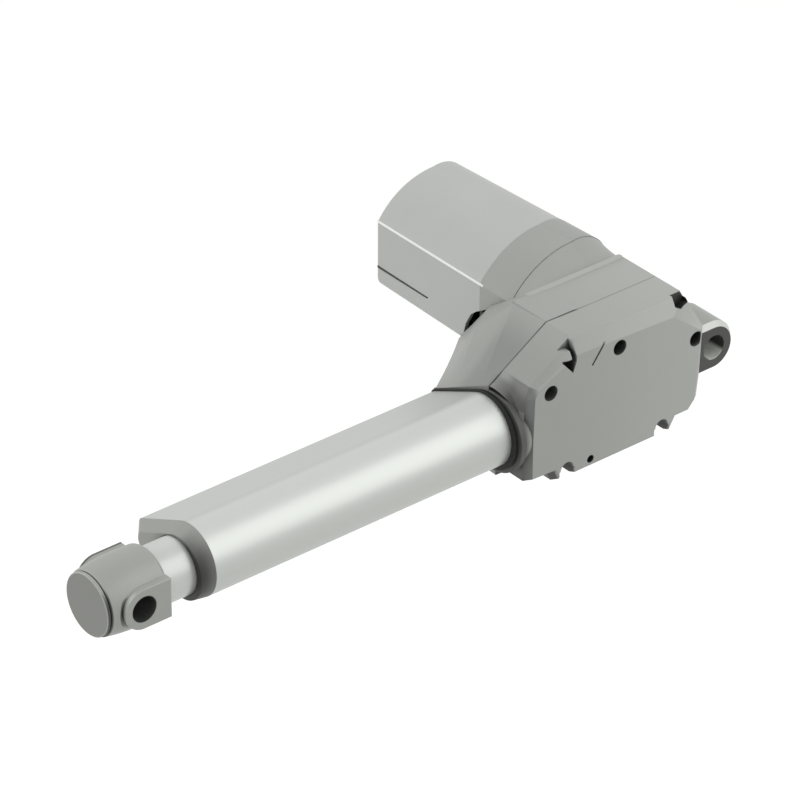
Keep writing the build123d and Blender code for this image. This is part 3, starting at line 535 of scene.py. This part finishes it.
@dataclass(frozen=True)
class Finish:
    """One finish: its colour, gloss and how it breaks up over the surface."""

    name: str
    colour: Colour
    roughness: float
    surface: Surface = Surface.GRAINED
    metallic: float = 0.0
    grain_depth: float = 0.00002
    mottle: float = 0.04
    edge_radius: float = 0.0005
    # edge_lift, edge_shade and edge_gain lighten edges: partly wear, partly a painted highlight
    # along rounded edges.
    edge_lift: float = 0.05
    edge_shade: float = 1.35
    edge_gain: float = 6.0
    dust: float = 0.25
    hollow_shade: float = 0.0
    hollow_reach: float = 0.01
    coat: float = 0.0
    stretch: float = 0.02
    # face_shade and chamfer_shade paint shade on the faces square to face_axis and a highlight on
    # their chamfers.
    face_shade: float = 1.0
    chamfer_shade: float = 1.0
    face_axis: str = ""
    seam_depth: float = 0.0
    patches: tuple[Patch, ...] = ()

    def shade(self, factor: float) -> Colour:
        """The finish's colour, made lighter or darker by a factor."""
        return tuple(min(1.0, channel * factor) for channel in self.colour)

    def material(self, groups: EffectGroups) -> bpy.types.Material:
        """Build the material of this finish.

        Args:
            groups: the shared effect groups.

        Returns:
            The new material.
        """
        made = bpy.data.materials.new(self.name)
        made.use_nodes = True
        made.diffuse_color = (*self.colour, 1.0)
        wires = Wiring(made.node_tree)
        shader = made.node_tree.nodes["Principled BSDF"]
        edges = wires.group(groups.soft_edges, Radius=self.edge_radius, Gain=self.edge_gain)
        texture = self._texture(wires, groups)
        film = wires.group(groups.settled_dust)
        cloudy = wires.blend(
            texture.outputs["Mottle"], self.shade(1 - self.mottle), self.shade(1 + self.mottle)
        )
        facing_shade = self._cut_faces(wires, groups, cloudy)
        # Edges are lightened towards edge_shade: partly rubbed wear, partly a painted highlight.
        wear_and_highlight_share = wires.math("MULTIPLY", edges.outputs["Edge"], self.edge_lift)
        wear_and_highlight = wires.blend(wear_and_highlight_share, facing_shade, self.shade(self.edge_shade))
        film_share = wires.math("MULTIPLY", film.outputs["Mask"], self.dust)
        dulled = wires.blend(film_share, wear_and_highlight, self.shade(FILM_SHADE))
        # The painted light patches come before the painted shade of the recesses, so that no
        # recess turns grey.
        lit = self._patched(wires, groups, dulled, lighter=True)
        recessed = self._hollows(wires, groups, lit)
        shaded = self._patched(wires, groups, recessed, lighter=False)
        rough = wires.spread(
            texture.outputs["Mottle"], self.roughness - GLOSS_SPREAD, self.roughness + GLOSS_SPREAD
        )
        bump = wires.add(
            "ShaderNodeBump",
            Height=texture.outputs["Height"],
            Normal=edges.outputs["Normal"],
            Distance=self.grain_depth,
            Strength=1.0,
        )
        wires.feed(shader, "Base Color", shaded)
        wires.feed(shader, "Roughness", rough)
        wires.feed(shader, "Normal", bump.outputs[0])
        shader.inputs["Metallic"].default_value = self.metallic
        shader.inputs["Coat Weight"].default_value = self.coat
        return made

    def _patched(
        self, wires: Wiring, groups: EffectGroups, colour: bpy.types.NodeSocket, lighter: bool
    ) -> bpy.types.NodeSocket:
        """Lay the patches of painted light or of painted shade over a colour.

        Args:
            wires: wiring of the material.
            groups: the shared effect groups.
            colour: colour of the surface so far.
            lighter: whether the patches of painted light are laid, or else those of painted shade.

        Returns:
            The colour with the patches in it.
        """
        for patch in self.patches:
            if (patch.shade > 1.0) == lighter:
                share = patch.mask(wires, groups)
                colour = wires.blend(share, colour, self.shade(patch.shade))
        return colour

    def _cut_faces(
        self, wires: Wiring, groups: EffectGroups, colour: bpy.types.NodeSocket
    ) -> bpy.types.NodeSocket:
        """Paint shade on the faces square to one axis, and a highlight on their chamfers.

        Args:
            wires: wiring of the material.
            groups: the shared effect groups.
            colour: colour of the rest of the surface.

        Returns:
            The colour with the painted face shade and chamfer highlight in it.
        """
        if not self.face_axis:
            return colour
        facing_shade = wires.group(
            groups.facing,
            Along_X=float(self.face_axis == "X"),
            Along_Y=float(self.face_axis == "Y"),
        )
        face_shaded = wires.blend(facing_shade.outputs["Face"], colour, self.shade(self.face_shade))
        return wires.blend(facing_shade.outputs["Chamfer"], face_shaded, self.shade(self.chamfer_shade))

    def _hollows(
        self, wires: Wiring, groups: EffectGroups, colour: bpy.types.NodeSocket
    ) -> bpy.types.NodeSocket:
        """Paint shade into recesses, and darken joint lines.

        Args:
            wires: wiring of the material.
            groups: the shared effect groups.
            colour: colour of the open surface.

        Returns:
            The darkened colour.
        """
        if self.hollow_shade:
            deep = wires.group(groups.hollows, Reach=self.hollow_reach)
            share = wires.math("MULTIPLY", deep.outputs["Mask"], self.hollow_shade)
            colour = wires.blend(share, colour, self.shade(RECESS_SHADE))
        if self.seam_depth:
            joint = wires.group(groups.seam)
            share = wires.math("MULTIPLY", joint.outputs["Mask"], self.seam_depth)
            colour = wires.blend(share, colour, self.shade(JOINT_SHADE))
        return colour

    def _texture(self, wires: Wiring, groups: EffectGroups) -> bpy.types.Node:
        """Place the group that breaks up this finish.

        Args:
            wires: wiring of the material.
            groups: the shared effect groups.

        Returns:
            The placed group, with outputs Height and Mottle.
        """
        if self.surface is Surface.STREAKED:
            return wires.group(groups.streaks, Stretch=self.stretch)
        return wires.group(groups.grain)


class Palette:
    """Every finish of the actuator, with its material made on first use."""

    def __init__(self) -> None:
        """Set out the finishes by their names."""
        streaked = Surface.STREAKED
        self.groups = EffectGroups()
        self.made: dict[str, bpy.types.Material] = {}
        finishes = [
            Finish("housing_plastic", linear(160, 162, 158), 0.5, hollow_shade=0.95,
                   hollow_reach=0.012, seam_depth=0.85, edge_lift=0.12,
                   patches=self._housing_shadows()),
            # The case's edges carry a strong painted highlight.
            Finish("case_plastic", linear(185, 187, 184), 0.48, hollow_shade=0.6,
                   hollow_reach=0.004, edge_lift=0.9, edge_shade=1.7, edge_gain=20.0),
            Finish("cap_plastic", linear(152, 154, 149), 0.5, hollow_shade=1.0,
                   hollow_reach=0.009, patches=self._cap_shadows()),
            # Lighter plastic whose extra lightness paints the roof bead's highlight.
            Finish("lit_bead_plastic", linear(172, 174, 170), 0.5),
            # Near-white plastic that paints a highlight.
            Finish("highlight_plastic", linear(244, 245, 243), 0.4, dust=0.0),
            Finish("black_plastic", linear(22, 22, 21), 0.45),
            Finish("tube_aluminium", linear(199, 202, 198), 0.4, streaked, 0.5,
                   mottle=0.012, grain_depth=0.000004, edge_radius=0.0003, dust=0.0,
                   patches=self._tube_light()),
            Finish("rod_aluminium", linear(200, 202, 199), 0.36, streaked, 0.36,
                   mottle=0.012, grain_depth=0.000004, edge_radius=0.0003, dust=0.0),
            Finish("black_rubber", linear(16, 16, 15), 0.7, grain_depth=0.00004),
            # Painted shade on the lug's faces square to Y, and a painted highlight on its
            # chamfers.
            Finish("lug_metal", linear(160, 162, 157), 0.42, metallic=0.2, edge_lift=0.3,
                   face_axis="Y", face_shade=0.15, chamfer_shade=1.7,
                   patches=self._bore_shine()),
            # Painted shade on the end's faces square to X, and a painted highlight on its edges.
            Finish("end_metal", linear(160, 162, 157), 0.42, metallic=0.15,
                   grain_depth=0.00003, face_axis="X", face_shade=0.58, hollow_shade=0.8,
                   hollow_reach=0.003, edge_lift=0.8, edge_shade=1.6, edge_gain=10.0,
                   patches=self._end_shadows()),
            Finish("steel", linear(168, 168, 166), 0.3, streaked, 1.0, stretch=40.0),
            Finish("can_steel", linear(150, 152, 150), 0.35, streaked, 1.0, stretch=0.1),
            Finish("bronze", linear(176, 140, 84), 0.4, metallic=1.0),
            Finish("ferrite", linear(52, 52, 54), 0.7),
            Finish("wheel_nylon", linear(226, 221, 202), 0.5),
            Finish("nut_nylon", linear(232, 232, 226), 0.5),
            Finish("laminations", linear(96, 96, 98), 0.4, streaked, 0.9, stretch=0.1),
            Finish("copper", linear(168, 92, 52), 0.35, streaked, 1.0, stretch=1.0),
            Finish("board", linear(22, 92, 52), 0.4, coat=0.4),
        ]
        self.finishes = {finish.name: finish for finish in finishes}

    @staticmethod
    def _housing_shadows() -> tuple[Patch, ...]:
        """Painted shadow of the tube side on the roof's fall, the collar and the lower recesses,
        and painted light towards the rear and on the bevel.
        """
        along = Measure.ALONG
        fall = Step(along, FORWARD, 74.0, 90.0)
        roof = Step(along, UP, 0.0, 12.0)
        not_flat = Step(along, MOTOR_SIDE, -17.8, -16.8)
        motor_half = Step(along, MOTOR_SIDE, -1.0, 1.0)
        over_web = Step(along, COVER_SIDE, -22.0, -12.0)
        cover_half = Step(along, COVER_SIDE, -4.0, 6.0)
        front = Step(along, FORWARD, 96.0, 98.6)
        low = Step(along, DOWN, 16.3, 17.0)
        inside = Step(along, MOTOR_SIDE, -17.7, -17.0)
        outside = Step(along, COVER_SIDE, 4.0, 7.0)
        forward = Step(Measure.FACING, FORWARD, 0.58, 0.75)
        near_front = Step(along, FORWARD, 93.0, 95.5)
        rim = Step(along, FORWARD, 98.8, 99.5)
        rim_side = Step(along, COVER_SIDE, 4.0, 11.0)
        rearward = Step(along, REARWARD, -85.0, -15.0)
        bevel = Step(Measure.FACING, (0.0, 0.71, 0.71), 0.86, 0.93)
        return (
            Patch(1.25, 0.6, (rearward, over_web)),
            Patch(1.3, 0.7, (rearward, bevel)),
            Patch(0.1, 0.55, (forward, near_front, cover_half)),
            Patch(0.5, 0.2, (fall, roof, not_flat)),
            Patch(0.5, 0.45, (fall, roof, motor_half, over_web)),
            Patch(0.12, 0.6, (front, cover_half)),
            Patch(0.05, 0.6, (rim, rim_side)),
            Patch(0.03, 0.85, (low, inside, outside)),
        )

    @staticmethod
    def _cap_shadows() -> tuple[Patch, ...]:
        """Shadow beside the rod in the mouth of the cap."""
        side = Step(Measure.ALONG, COVER_SIDE, 0.0, 8.0)
        mouth = Step(Measure.ROUND, ROUND_TUBE, 15.2, 12.0)
        flank = Step(Measure.ALONG, (0.0, 1.0, -0.3), 2.0, 11.0)
        forward = Step(Measure.ALONG, FORWARD, 236.5, 244.5)
        return (
            Patch(0.25, 0.6, (flank,)),
            Patch(0.03, 0.95, (forward, flank)),
            Patch(0.03, 0.95, (mouth, side)),
        )

    @staticmethod
    def _tube_light() -> tuple[Patch, ...]:
        """Painted shade on the tube's upper flat and lower side, and a broad painted highlight
        band beside the flat.
        """
        flat = Step(Measure.FACING, (0.0, -0.43, 0.9), 0.93, 0.99)
        band = Step(Measure.FACING, (0.0, 0.6, 0.8), 0.84, 0.98)
        below = Step(Measure.FACING, (0.0, 0.9, -0.43), 0.6, 0.95)
        return (
            Patch(1.06, 0.8, (band,)),
            Patch(0.82, 0.6, (flat,)),
            Patch(0.8, 0.4, (below,)),
        )

    @staticmethod
    def _bore_shine() -> tuple[Patch, ...]:
        """Painted shade in the lug's bore, with painted light on its lower wall."""
        bore = Step(Measure.ROUND, ROUND_EYE, 5.3, 5.15)
        upward = Step(Measure.FACING, (0.3, 0.0, 0.95), 0.55, 0.85)
        shaded = Step(Measure.FACING, (0.3, 0.0, 0.95), 0.85, 0.55)
        return (Patch(2.2, 1.0, (bore, upward)), Patch(0.15, 1.0, (bore, shaded)))

    @staticmethod
    def _end_shadows() -> tuple[Patch, ...]:
        """Painted shade on the disc's rim on its lower side, in the eye and on the far pad, and
        painted light on the near pad's side.
        """
        along = Measure.ALONG
        eye = (270.0, 0.0, 0.0)
        rim_back = Step(along, FORWARD, 281.6, 282.1)
        rim_front = Step(along, REARWARD, -283.8, -283.6)
        lower_side = Step(along, (0.0, 1.0, -0.35), 3.0, 9.0)
        bore = Step(Measure.ROUND, ROUND_EYE, 5.35, 5.15, eye)
        far_pad = Step(along, MOTOR_SIDE, 13.4, 13.9)
        looks_up = Step(Measure.FACING, UP, 0.3, 0.6)
        pad_side = Step(Measure.FACING, (0.95, 0.0, 0.3), 0.5, 0.85)
        near_pad = Step(along, COVER_SIDE, 12.6, 13.2)
        return (
            Patch(1.6, 0.9, (pad_side, near_pad)),
            Patch(0.08, 0.9, (rim_back, rim_front, lower_side)),
            Patch(0.1, 0.92, (bore,)),
            Patch(0.15, 0.85, (far_pad, looks_up)),
        )

    def material(self, name: str) -> bpy.types.Material:
        """Give the material of a slot, built on first use.

        Args:
            name: the finish's name.

        Returns:
            The material.
        """
        if name not in self.made:
            self.made[name] = self.finishes[name].material(self.groups)
        return self.made[name]

    def dress(self, piece: bpy.types.Object, name: str) -> None:
        """Put one finish on a piece.

        Args:
            piece: a mesh object.
            name: the finish's name.
        """
        piece.data.materials.clear()
        piece.data.materials.append(self.material(name))


def piece_from(
    name: str, points: list[Vector], faces: list[tuple[int, ...]], smooth: bool = False
) -> bpy.types.Object:
    """Make a mesh object from points in metres.

    Args:
        name: the piece's name.
        points: its corners.
        faces: corners of each face, by number.
        smooth: whether it is shaded as one round surface.

    Returns:
        The new object, linked to the scene.
    """
    mesh = bpy.data.meshes.new(name)
    mesh.from_pydata([tuple(point) for point in points], [], faces)
    mesh.update()
    for face in mesh.polygons:
        face.use_smooth = smooth
    made = bpy.data.objects.new(name, mesh)
    bpy.context.scene.collection.objects.link(made)
    return made


def grid_faces(lines: int, count: int, closed: bool = False) -> list[tuple[int, ...]]:
    """Give the four-cornered faces between lines of points that are listed one by one.

    Args:
        lines: how many lines there are.
        count: points in each line.
        closed: whether each line runs back to its own start.

    Returns:
        The corners of each face, by number.
    """
    faces = []
    for line in range(lines - 1):
        for place in range(count if closed else count - 1):
            here = line * count + place
            beside = line * count + (place + 1) % count
            faces.append((here, beside, beside + count, here + count))
    return faces


@dataclass(frozen=True)
class Bar:
    """A slim round bar with domed ends, in millimetres."""

    name: str
    first: Triple
    last: Triple
    radius: float

    def make(self) -> bpy.types.Object:
        """Make the bar.

        Returns:
            The new piece.
        """
        first, last = Vector(self.first), Vector(self.last)
        along = (last - first).normalized()
        beside = along.cross(Vector(UP)).normalized()
        above = beside.cross(along)
        quarter = [0.5 * math.pi * ring / DOME_RINGS for ring in range(DOME_RINGS + 1)]
        stations = [(first, -lean) for lean in reversed(quarter)]
        stations += [(last, lean) for lean in quarter]
        points = []
        for end, lean in stations:
            middle = end + along * self.radius * math.sin(lean)
            width = max(self.radius * math.cos(lean), BAR_TIP)
            for side in range(BAR_SIDES):
                turn = 2 * math.pi * side / BAR_SIDES
                offset = beside * math.cos(turn) + above * math.sin(turn)
                points.append((middle + offset * width) * MM)
        faces = grid_faces(len(stations), BAR_SIDES, closed=True)
        return piece_from(self.name, points, faces, smooth=True)


@dataclass(frozen=True)
class CollarFairing:
    """Moulded skin that falls from the cover's front edge to the collar, in millimetres.

    Turns count from straight up towards the cover, round an axis that stands the shift
    beside the tube's. The edge follows the roof's front, a slope below it and the upright
    side. Near the parting plane the skin's foot rises and reaches on to the lip of the web.
    """

    shift: float = 2.5
    parting_gap: float = 0.02
    roof: float = 22.4
    side: float = 14.9
    roof_front: float = 95.2
    slope_top: float = 22.2
    slope_front: float = 95.55
    slope_foot: float = 17.1
    upright_front: float = 97.45
    upright_lean: float = 1.0 / 28.0
    collar_radius: float = 15.95
    collar_front: float = 99.75
    lip_rise: float = 2.25
    lip_reach: float = 2.2
    lip_rate: float = 2.2
    lip_offset: float = 0.3
    lip_span: float = 0.6
    sink: float = 0.35
    first_turn: float = -8.0
    last_turn: float = 96.0
    columns: int = 36
    rows: int = 5

    def _edge(self, turn: float) -> Vector:
        """Give the point on the cover's front edge in one direction.

        Args:
            turn: the direction, in radians.

        Returns:
            The point.
        """
        rise, aside = math.cos(turn), math.sin(turn)
        to_roof = self.roof / rise if rise > 0.0 else math.inf
        to_side = (self.side - self.shift) / aside if aside > 0.0 else math.inf
        reach = min(to_roof, to_side)
        height = reach * rise
        if height > self.slope_top:
            front = self.roof_front
        elif height > self.slope_foot:
            share = (self.slope_top - height) / (self.slope_top - self.slope_foot)
            front = self.slope_front + share * (self.upright_front - self.slope_front)
        else:
            front = self.upright_front + (self.slope_foot - max(height, 0.0)) * self.upright_lean
        return Vector((front, max(self.parting_gap, self.shift + reach * aside), height))

    def _foot(self, turn: float) -> Vector:
        """Give the point where the skin ends on the collar in one direction.

        Args:
            turn: the direction, in radians.

        Returns:
            The point.
        """
        near = 0.0
        if abs(turn) < self.lip_span:
            near = max(0.0, math.cos(self.lip_rate * turn + self.lip_offset))
        radius = self.collar_radius + self.lip_rise * near
        across = max(self.parting_gap, self.shift + radius * math.sin(turn))
        front = self.collar_front + self.lip_reach * near
        return Vector((front, across, radius * math.cos(turn)))

    def make(self) -> bpy.types.Object:
        """Make the skin, a little hollow between its edge and its foot.

        Returns:
            The new piece.
        """
        first, last = math.radians(self.first_turn), math.radians(self.last_turn)
        points = []
        for column in range(self.columns + 1):
            turn = first + (last - first) * column / self.columns
            inward = Vector((0.0, -math.sin(turn), -math.cos(turn)))
            for row in range(self.rows + 1):
                share = row / self.rows
                sunk = inward * self.sink * math.sin(math.pi * share)
                points.append((self._edge(turn).lerp(self._foot(turn), share) + sunk) * MM)
        faces = grid_faces(self.columns + 1, self.rows + 1)
        return piece_from("collar_fairing", points, faces, smooth=True)


@dataclass(frozen=True)
class NotchLining:
    """Dark sheet that paints the shade in the notch at the rear top of the cover, in millimetres.

    The outline gives X and Z. The rim leans back where the notch is higher than lean_from.
    """

    outline: tuple[tuple[float, float], ...] = (
        (21.8, 34.2), (20.15, 31.3), (20.1, 30.1), (23.5, 28.75), (26.5, 30.55), (26.9, 34.2),
    )
    floor: float = 13.6
    rim: float = 16.2
    lean: float = 0.3
    lean_from: float = 30.0

    def make(self) -> bpy.types.Object:
        """Make the lining.

        Returns:
            The new piece.
        """
        points = [Vector((x, self.floor, z)) * MM for x, z in self.outline]
        for x, z in self.outline:
            rim = self.rim - self.lean * max(0.0, z - self.lean_from)
            points.append(Vector((x, rim, z)) * MM)
        count = len(self.outline)
        # Every side of the floor has a wall but the first one and the last, at the roof.
        faces = [tuple(range(count)), *grid_faces(2, count)[1:]]
        return piece_from("notch_shade", points, faces)


# The roof bead is a real raised bead; its lighter plastic paints its highlight.
ROOF_BEAD = Bar("roof_bead", (22.9, -18.9, 33.9), (67.2, -18.9, 33.9), 1.5)
# A near-white bar along the case's rounded edge paints its highlight.
CASE_EDGE_HIGHLIGHT = Bar("case_edge_highlight", (61.4, -113.4, 21.1), (62.0, -51.0, 21.6), 0.5)
# A black bar in the groove paints its shadow.
GROOVE_SHADOW = Bar("groove_shadow", (61.2, -113.3, 1.2), (61.3, -84.2, 1.2), 0.65)


class SubAssembly:
    """Nodes of the model that belong together with their finishes, and their body."""

    body: str
    nodes: dict[str, str]

    def build(self, palette: Palette) -> list[bpy.types.Object]:
        """Dress the nodes, then add this sub-assembly's own pieces.

        Args:
            palette: the finishes.

        Returns:
            Every piece of the sub-assembly.
        """
        pieces = []
        for node, finish in self.nodes.items():
            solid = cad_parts[node]
            palette.dress(solid, finish)
            pieces.append(solid)
        added = self.extras(palette)
        for piece in added:
            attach(piece, self.body)
        return pieces + added

    def extras(self, palette: Palette) -> list[bpy.types.Object]:
        """Pieces that the solids leave out; a plain sub-assembly has none."""
        return []


class Gearbox(SubAssembly):
    """Gear housing and cover with their screws."""

    body = "base"
    nodes = {
        "gear_housing": "housing_plastic",
        "gear_cover": "housing_plastic",
        **{f"cover_screw_{place}": "steel" for place in COVER_SCREWS},
    }

    def extras(self, palette: Palette) -> list[bpy.types.Object]:
        """Add the fairing over the collar, the roof bead with its painted highlight, and the dark
        sheet of painted shade in the notch.

        Args:
            palette: the finishes.

        Returns:
            The new pieces.
        """
        skin = CollarFairing().make()
        bead = ROOF_BEAD.make()
        notch_dark = NotchLining().make()
        palette.dress(skin, "housing_plastic")
        palette.dress(bead, "lit_bead_plastic")
        palette.dress(notch_dark, "black_plastic")
        return [skin, bead, notch_dark]


class MotorCase(SubAssembly):
    """Motor flange, motor cover and the cable socket."""

    body = "base"
    nodes = {
        "motor_flange": "housing_plastic",
        "motor_housing": "case_plastic",
        "cable_socket": "black_plastic",
    }

    def extras(self, palette: Palette) -> list[bpy.types.Object]:
        """Add the painted highlight along the rounded edge of the case, and the dark strip of
        painted shadow in its groove.

        Args:
            palette: the finishes.

        Returns:
            The new pieces.
        """
        edge = CASE_EDGE_HIGHLIGHT.make()
        strip = GROOVE_SHADOW.make()
        palette.dress(edge, "highlight_plastic")
        palette.dress(strip, "black_plastic")
        return [edge, strip]


class OuterTube(SubAssembly):
    """Extruded tube with its gasket and end cap."""

    body = "base"
    nodes = {
        "outer_tube": "tube_aluminium",
        "tube_gasket": "black_rubber",
        "tube_end_cap": "cap_plastic",
        "rod_wiper": "black_rubber",
        "limit_switch_board": "board",
        "limit_switch_in": "black_plastic",
        "limit_switch_out": "black_plastic",
    }


class RearMount(SubAssembly):
    """Rear lug."""

    body = "base"
    nodes = {"rear_lug": "lug_metal"}


class SlidingRod(SubAssembly):
    """Inner rod with its end, nut and pins."""

    body = "rod"
    nodes = {
        "rod": "rod_aluminium",
        "rod_end": "end_metal",
        "rod_pin": "steel",
        "drive_nut": "nut_nylon",
        "nut_pin": "steel",
        "striker": "black_plastic",
    }


class SpindleSet(SubAssembly):
    """Spindle with the worm wheel and what turns with it."""

    body = "spindle"
    nodes = {
        "spindle": "steel",
        "worm_wheel": "wheel_nylon",
        "wheel_key": "steel",
        "wheel_spacer": "steel",
        "bearing_inner_ring": "steel",
        "spindle_washer": "nut_nylon",
    }


class SpindleSeats(SubAssembly):
    """Bearing parts and bush that hold the spindle in the housing."""

    body = "base"
    nodes = {
        "thrust_plate": "steel",
        "bearing_outer_ring": "steel",
        "bearing_balls": "steel",
        "spindle_bush": "bronze",
    }


class Armature(SubAssembly):
    """Motor shaft with the worm, core, windings and commutator."""

    body = "armature"
    nodes = {
        "worm_shaft": "steel",
        "armature_core": "laminations",
        "armature_windings": "copper",
        "commutator": "copper",
    }


class MotorShell(SubAssembly):
    """Fixed parts of the motor inside its cover."""

    body = "base"
    nodes = {
        "motor_can": "can_steel",
        "magnet_upper": "ferrite",
        "magnet_lower": "ferrite",
        "brush_holder": "black_plastic",
        "motor_end_bell": "can_steel",
        "motor_bearing_rear": "bronze",
        "worm_bearing_motor_side": "steel",
        "worm_bearing_cover_side": "steel",
        "rubber_damper": "black_rubber",
    }


@dataclass(frozen=True)
class Softbox:
    """One soft lamp, named by where it stands round the part."""

    name: str
    direction: Triple
    width: float
    power: float
    reach: float = 1.6


@dataclass
class Studio:
    """Pale floor, soft lamps and the camera of the photograph."""

    centre: Vector = field(default_factory=lambda: Vector((0.13, -0.03, 0.0)))
    floor_drop: float = 0.5
    floor_span: float = 30.0
    floor_colour: Colour = linear(196, 196, 194)
    floor_glow: float = 0.55
    ambient: float = 0.72
    lamps: tuple[Softbox, ...] = (
        Softbox("lamp_key", (-0.5, 0.66, 0.56), 1.0, 2.7, 0.9),
        Softbox("lamp_motor_side", (-0.2, -0.75, 0.75), 1.4, 1.1),
        Softbox("lamp_front", (0.85, -0.5, 0.2), 1.4, 6.6),
    )
    camera_place: Vector = field(default_factory=lambda: Vector((1.14131, 1.20871, 1.01160)))
    azimuth: float = 140.47
    elevation: float = 32.1
    roll: float = 0.28
    lens: float = 232.56
    sensor: float = 36.0

    def build(self) -> None:
        """Set up floor, world, lamps and camera."""
        self._floor()
        self._world()
        for lamp in self.lamps:
            self._lamp(lamp)
        self._camera()
        bpy.context.scene.view_settings.view_transform = "Standard"

    @staticmethod
    def _seen_directly(wires: Wiring) -> bpy.types.NodeSocket:
        """Give 1 for rays that show the background, straight or in a reflection.

        Args:
            wires: wiring of the floor's material or of the world.

        Returns:
            The socket that is 1 for camera, glossy and transmission rays.
        """
        path = wires.add("ShaderNodeLightPath")
        mirrored = wires.math(
            "MAXIMUM", path.outputs["Is Glossy Ray"], path.outputs["Is Transmission Ray"]
        )
        return wires.math("MAXIMUM", path.outputs["Is Camera Ray"], mirrored)

    def _floor(self) -> None:
        """Lay the pale floor well under the part."""
        half = self.floor_span / 2
        around = ((-half, -half), (half, -half), (half, half), (-half, half))
        corners = [Vector((x, y, -self.floor_drop)) for x, y in around]
        floor = piece_from("floor", corners, [(0, 1, 2, 3)])
        made = bpy.data.materials.new("floor_paper")
        made.use_nodes = True
        wires = Wiring(made.node_tree)
        shader = made.node_tree.nodes["Principled BSDF"]
        shader.inputs["Base Color"].default_value = (*self.floor_colour, 1.0)
        shader.inputs["Roughness"].default_value = 0.9
        glow = wires.add("ShaderNodeEmission", Color=(1.0, 1.0, 1.0), Strength=self.floor_glow)
        both = wires.add("ShaderNodeAddShader")
        wires.feed(both, "0", shader.outputs[0])
        wires.feed(both, "1", glow.outputs[0])
        choice = wires.add("ShaderNodeMixShader", Fac=self._seen_directly(wires))
        wires.feed(choice, "1", shader.outputs[0])
        wires.feed(choice, "2", both.outputs[0])
        wires.feed(made.node_tree.nodes["Material Output"], "Surface", choice.outputs[0])
        floor.data.materials.append(made)

    def _world(self) -> None:
        """Give the room its soft light and a white background."""
        world = bpy.data.worlds.new("studio_room")
        bpy.context.scene.world = world
        world.use_nodes = True
        wires = Wiring(world.node_tree)
        room = world.node_tree.nodes["Background"]
        room.inputs["Color"].default_value = (1.0, 1.0, 1.0, 1.0)
        strength = wires.spread(self._seen_directly(wires), self.ambient, 1.0)
        wires.feed(room, "Strength", strength)

    def _lamp(self, lamp: Softbox) -> None:
        """Hang one soft lamp facing the part.

        Args:
            lamp: the lamp.
        """
        light = bpy.data.lights.new(lamp.name, "AREA")
        light.shape = "DISK"
        light.size = lamp.width
        light.energy = lamp.power
        holder = bpy.data.objects.new(lamp.name, light)
        away = Vector(lamp.direction).normalized()
        holder.location = self.centre + away * lamp.reach
        holder.rotation_euler = away.to_track_quat("Z", "Y").to_euler()
        bpy.context.scene.collection.objects.link(holder)

    def _camera(self) -> None:
        """Stand the camera where the photograph was taken from."""
        turn = math.radians(self.azimuth)
        rise = math.radians(self.elevation)
        back = Vector((
            math.sin(turn) * math.cos(rise), -math.cos(turn) * math.cos(rise), math.sin(rise)
        ))
        level = Vector((math.cos(turn), math.sin(turn), 0.0))
        tilt = Matrix.Rotation(math.radians(self.roll), 3, back)
        right = tilt @ level
        up = back.cross(right)
        lens = bpy.data.cameras.new("photo_camera")
        lens.lens = self.lens
        lens.sensor_width = self.sensor
        lens.clip_start = 0.05
        lens.clip_end = 100.0
        camera = bpy.data.objects.new("photo_camera", lens)
        axes = Matrix((right, up, back)).transposed()
        camera.matrix_world = Matrix.Translation(self.camera_place) @ axes.to_4x4()
        bpy.context.scene.collection.objects.link(camera)
        bpy.context.scene.camera = camera


def main() -> None:
    """Build the actuator's looks and its studio, and report each piece."""
    logging.basicConfig(level=logging.INFO, format="%(name)s: %(message)s")
    palette = Palette()
    assemblies = [
        Gearbox(), MotorCase(), OuterTube(), RearMount(), SlidingRod(),
        SpindleSet(), SpindleSeats(), Armature(), MotorShell(),
    ]
    for assembly in assemblies:
        for piece in assembly.build(palette):
            log.info("%s: %s on %s", type(assembly).__name__, piece.name, assembly.body)
    Studio().build()


if __name__ == "__main__":
    main()
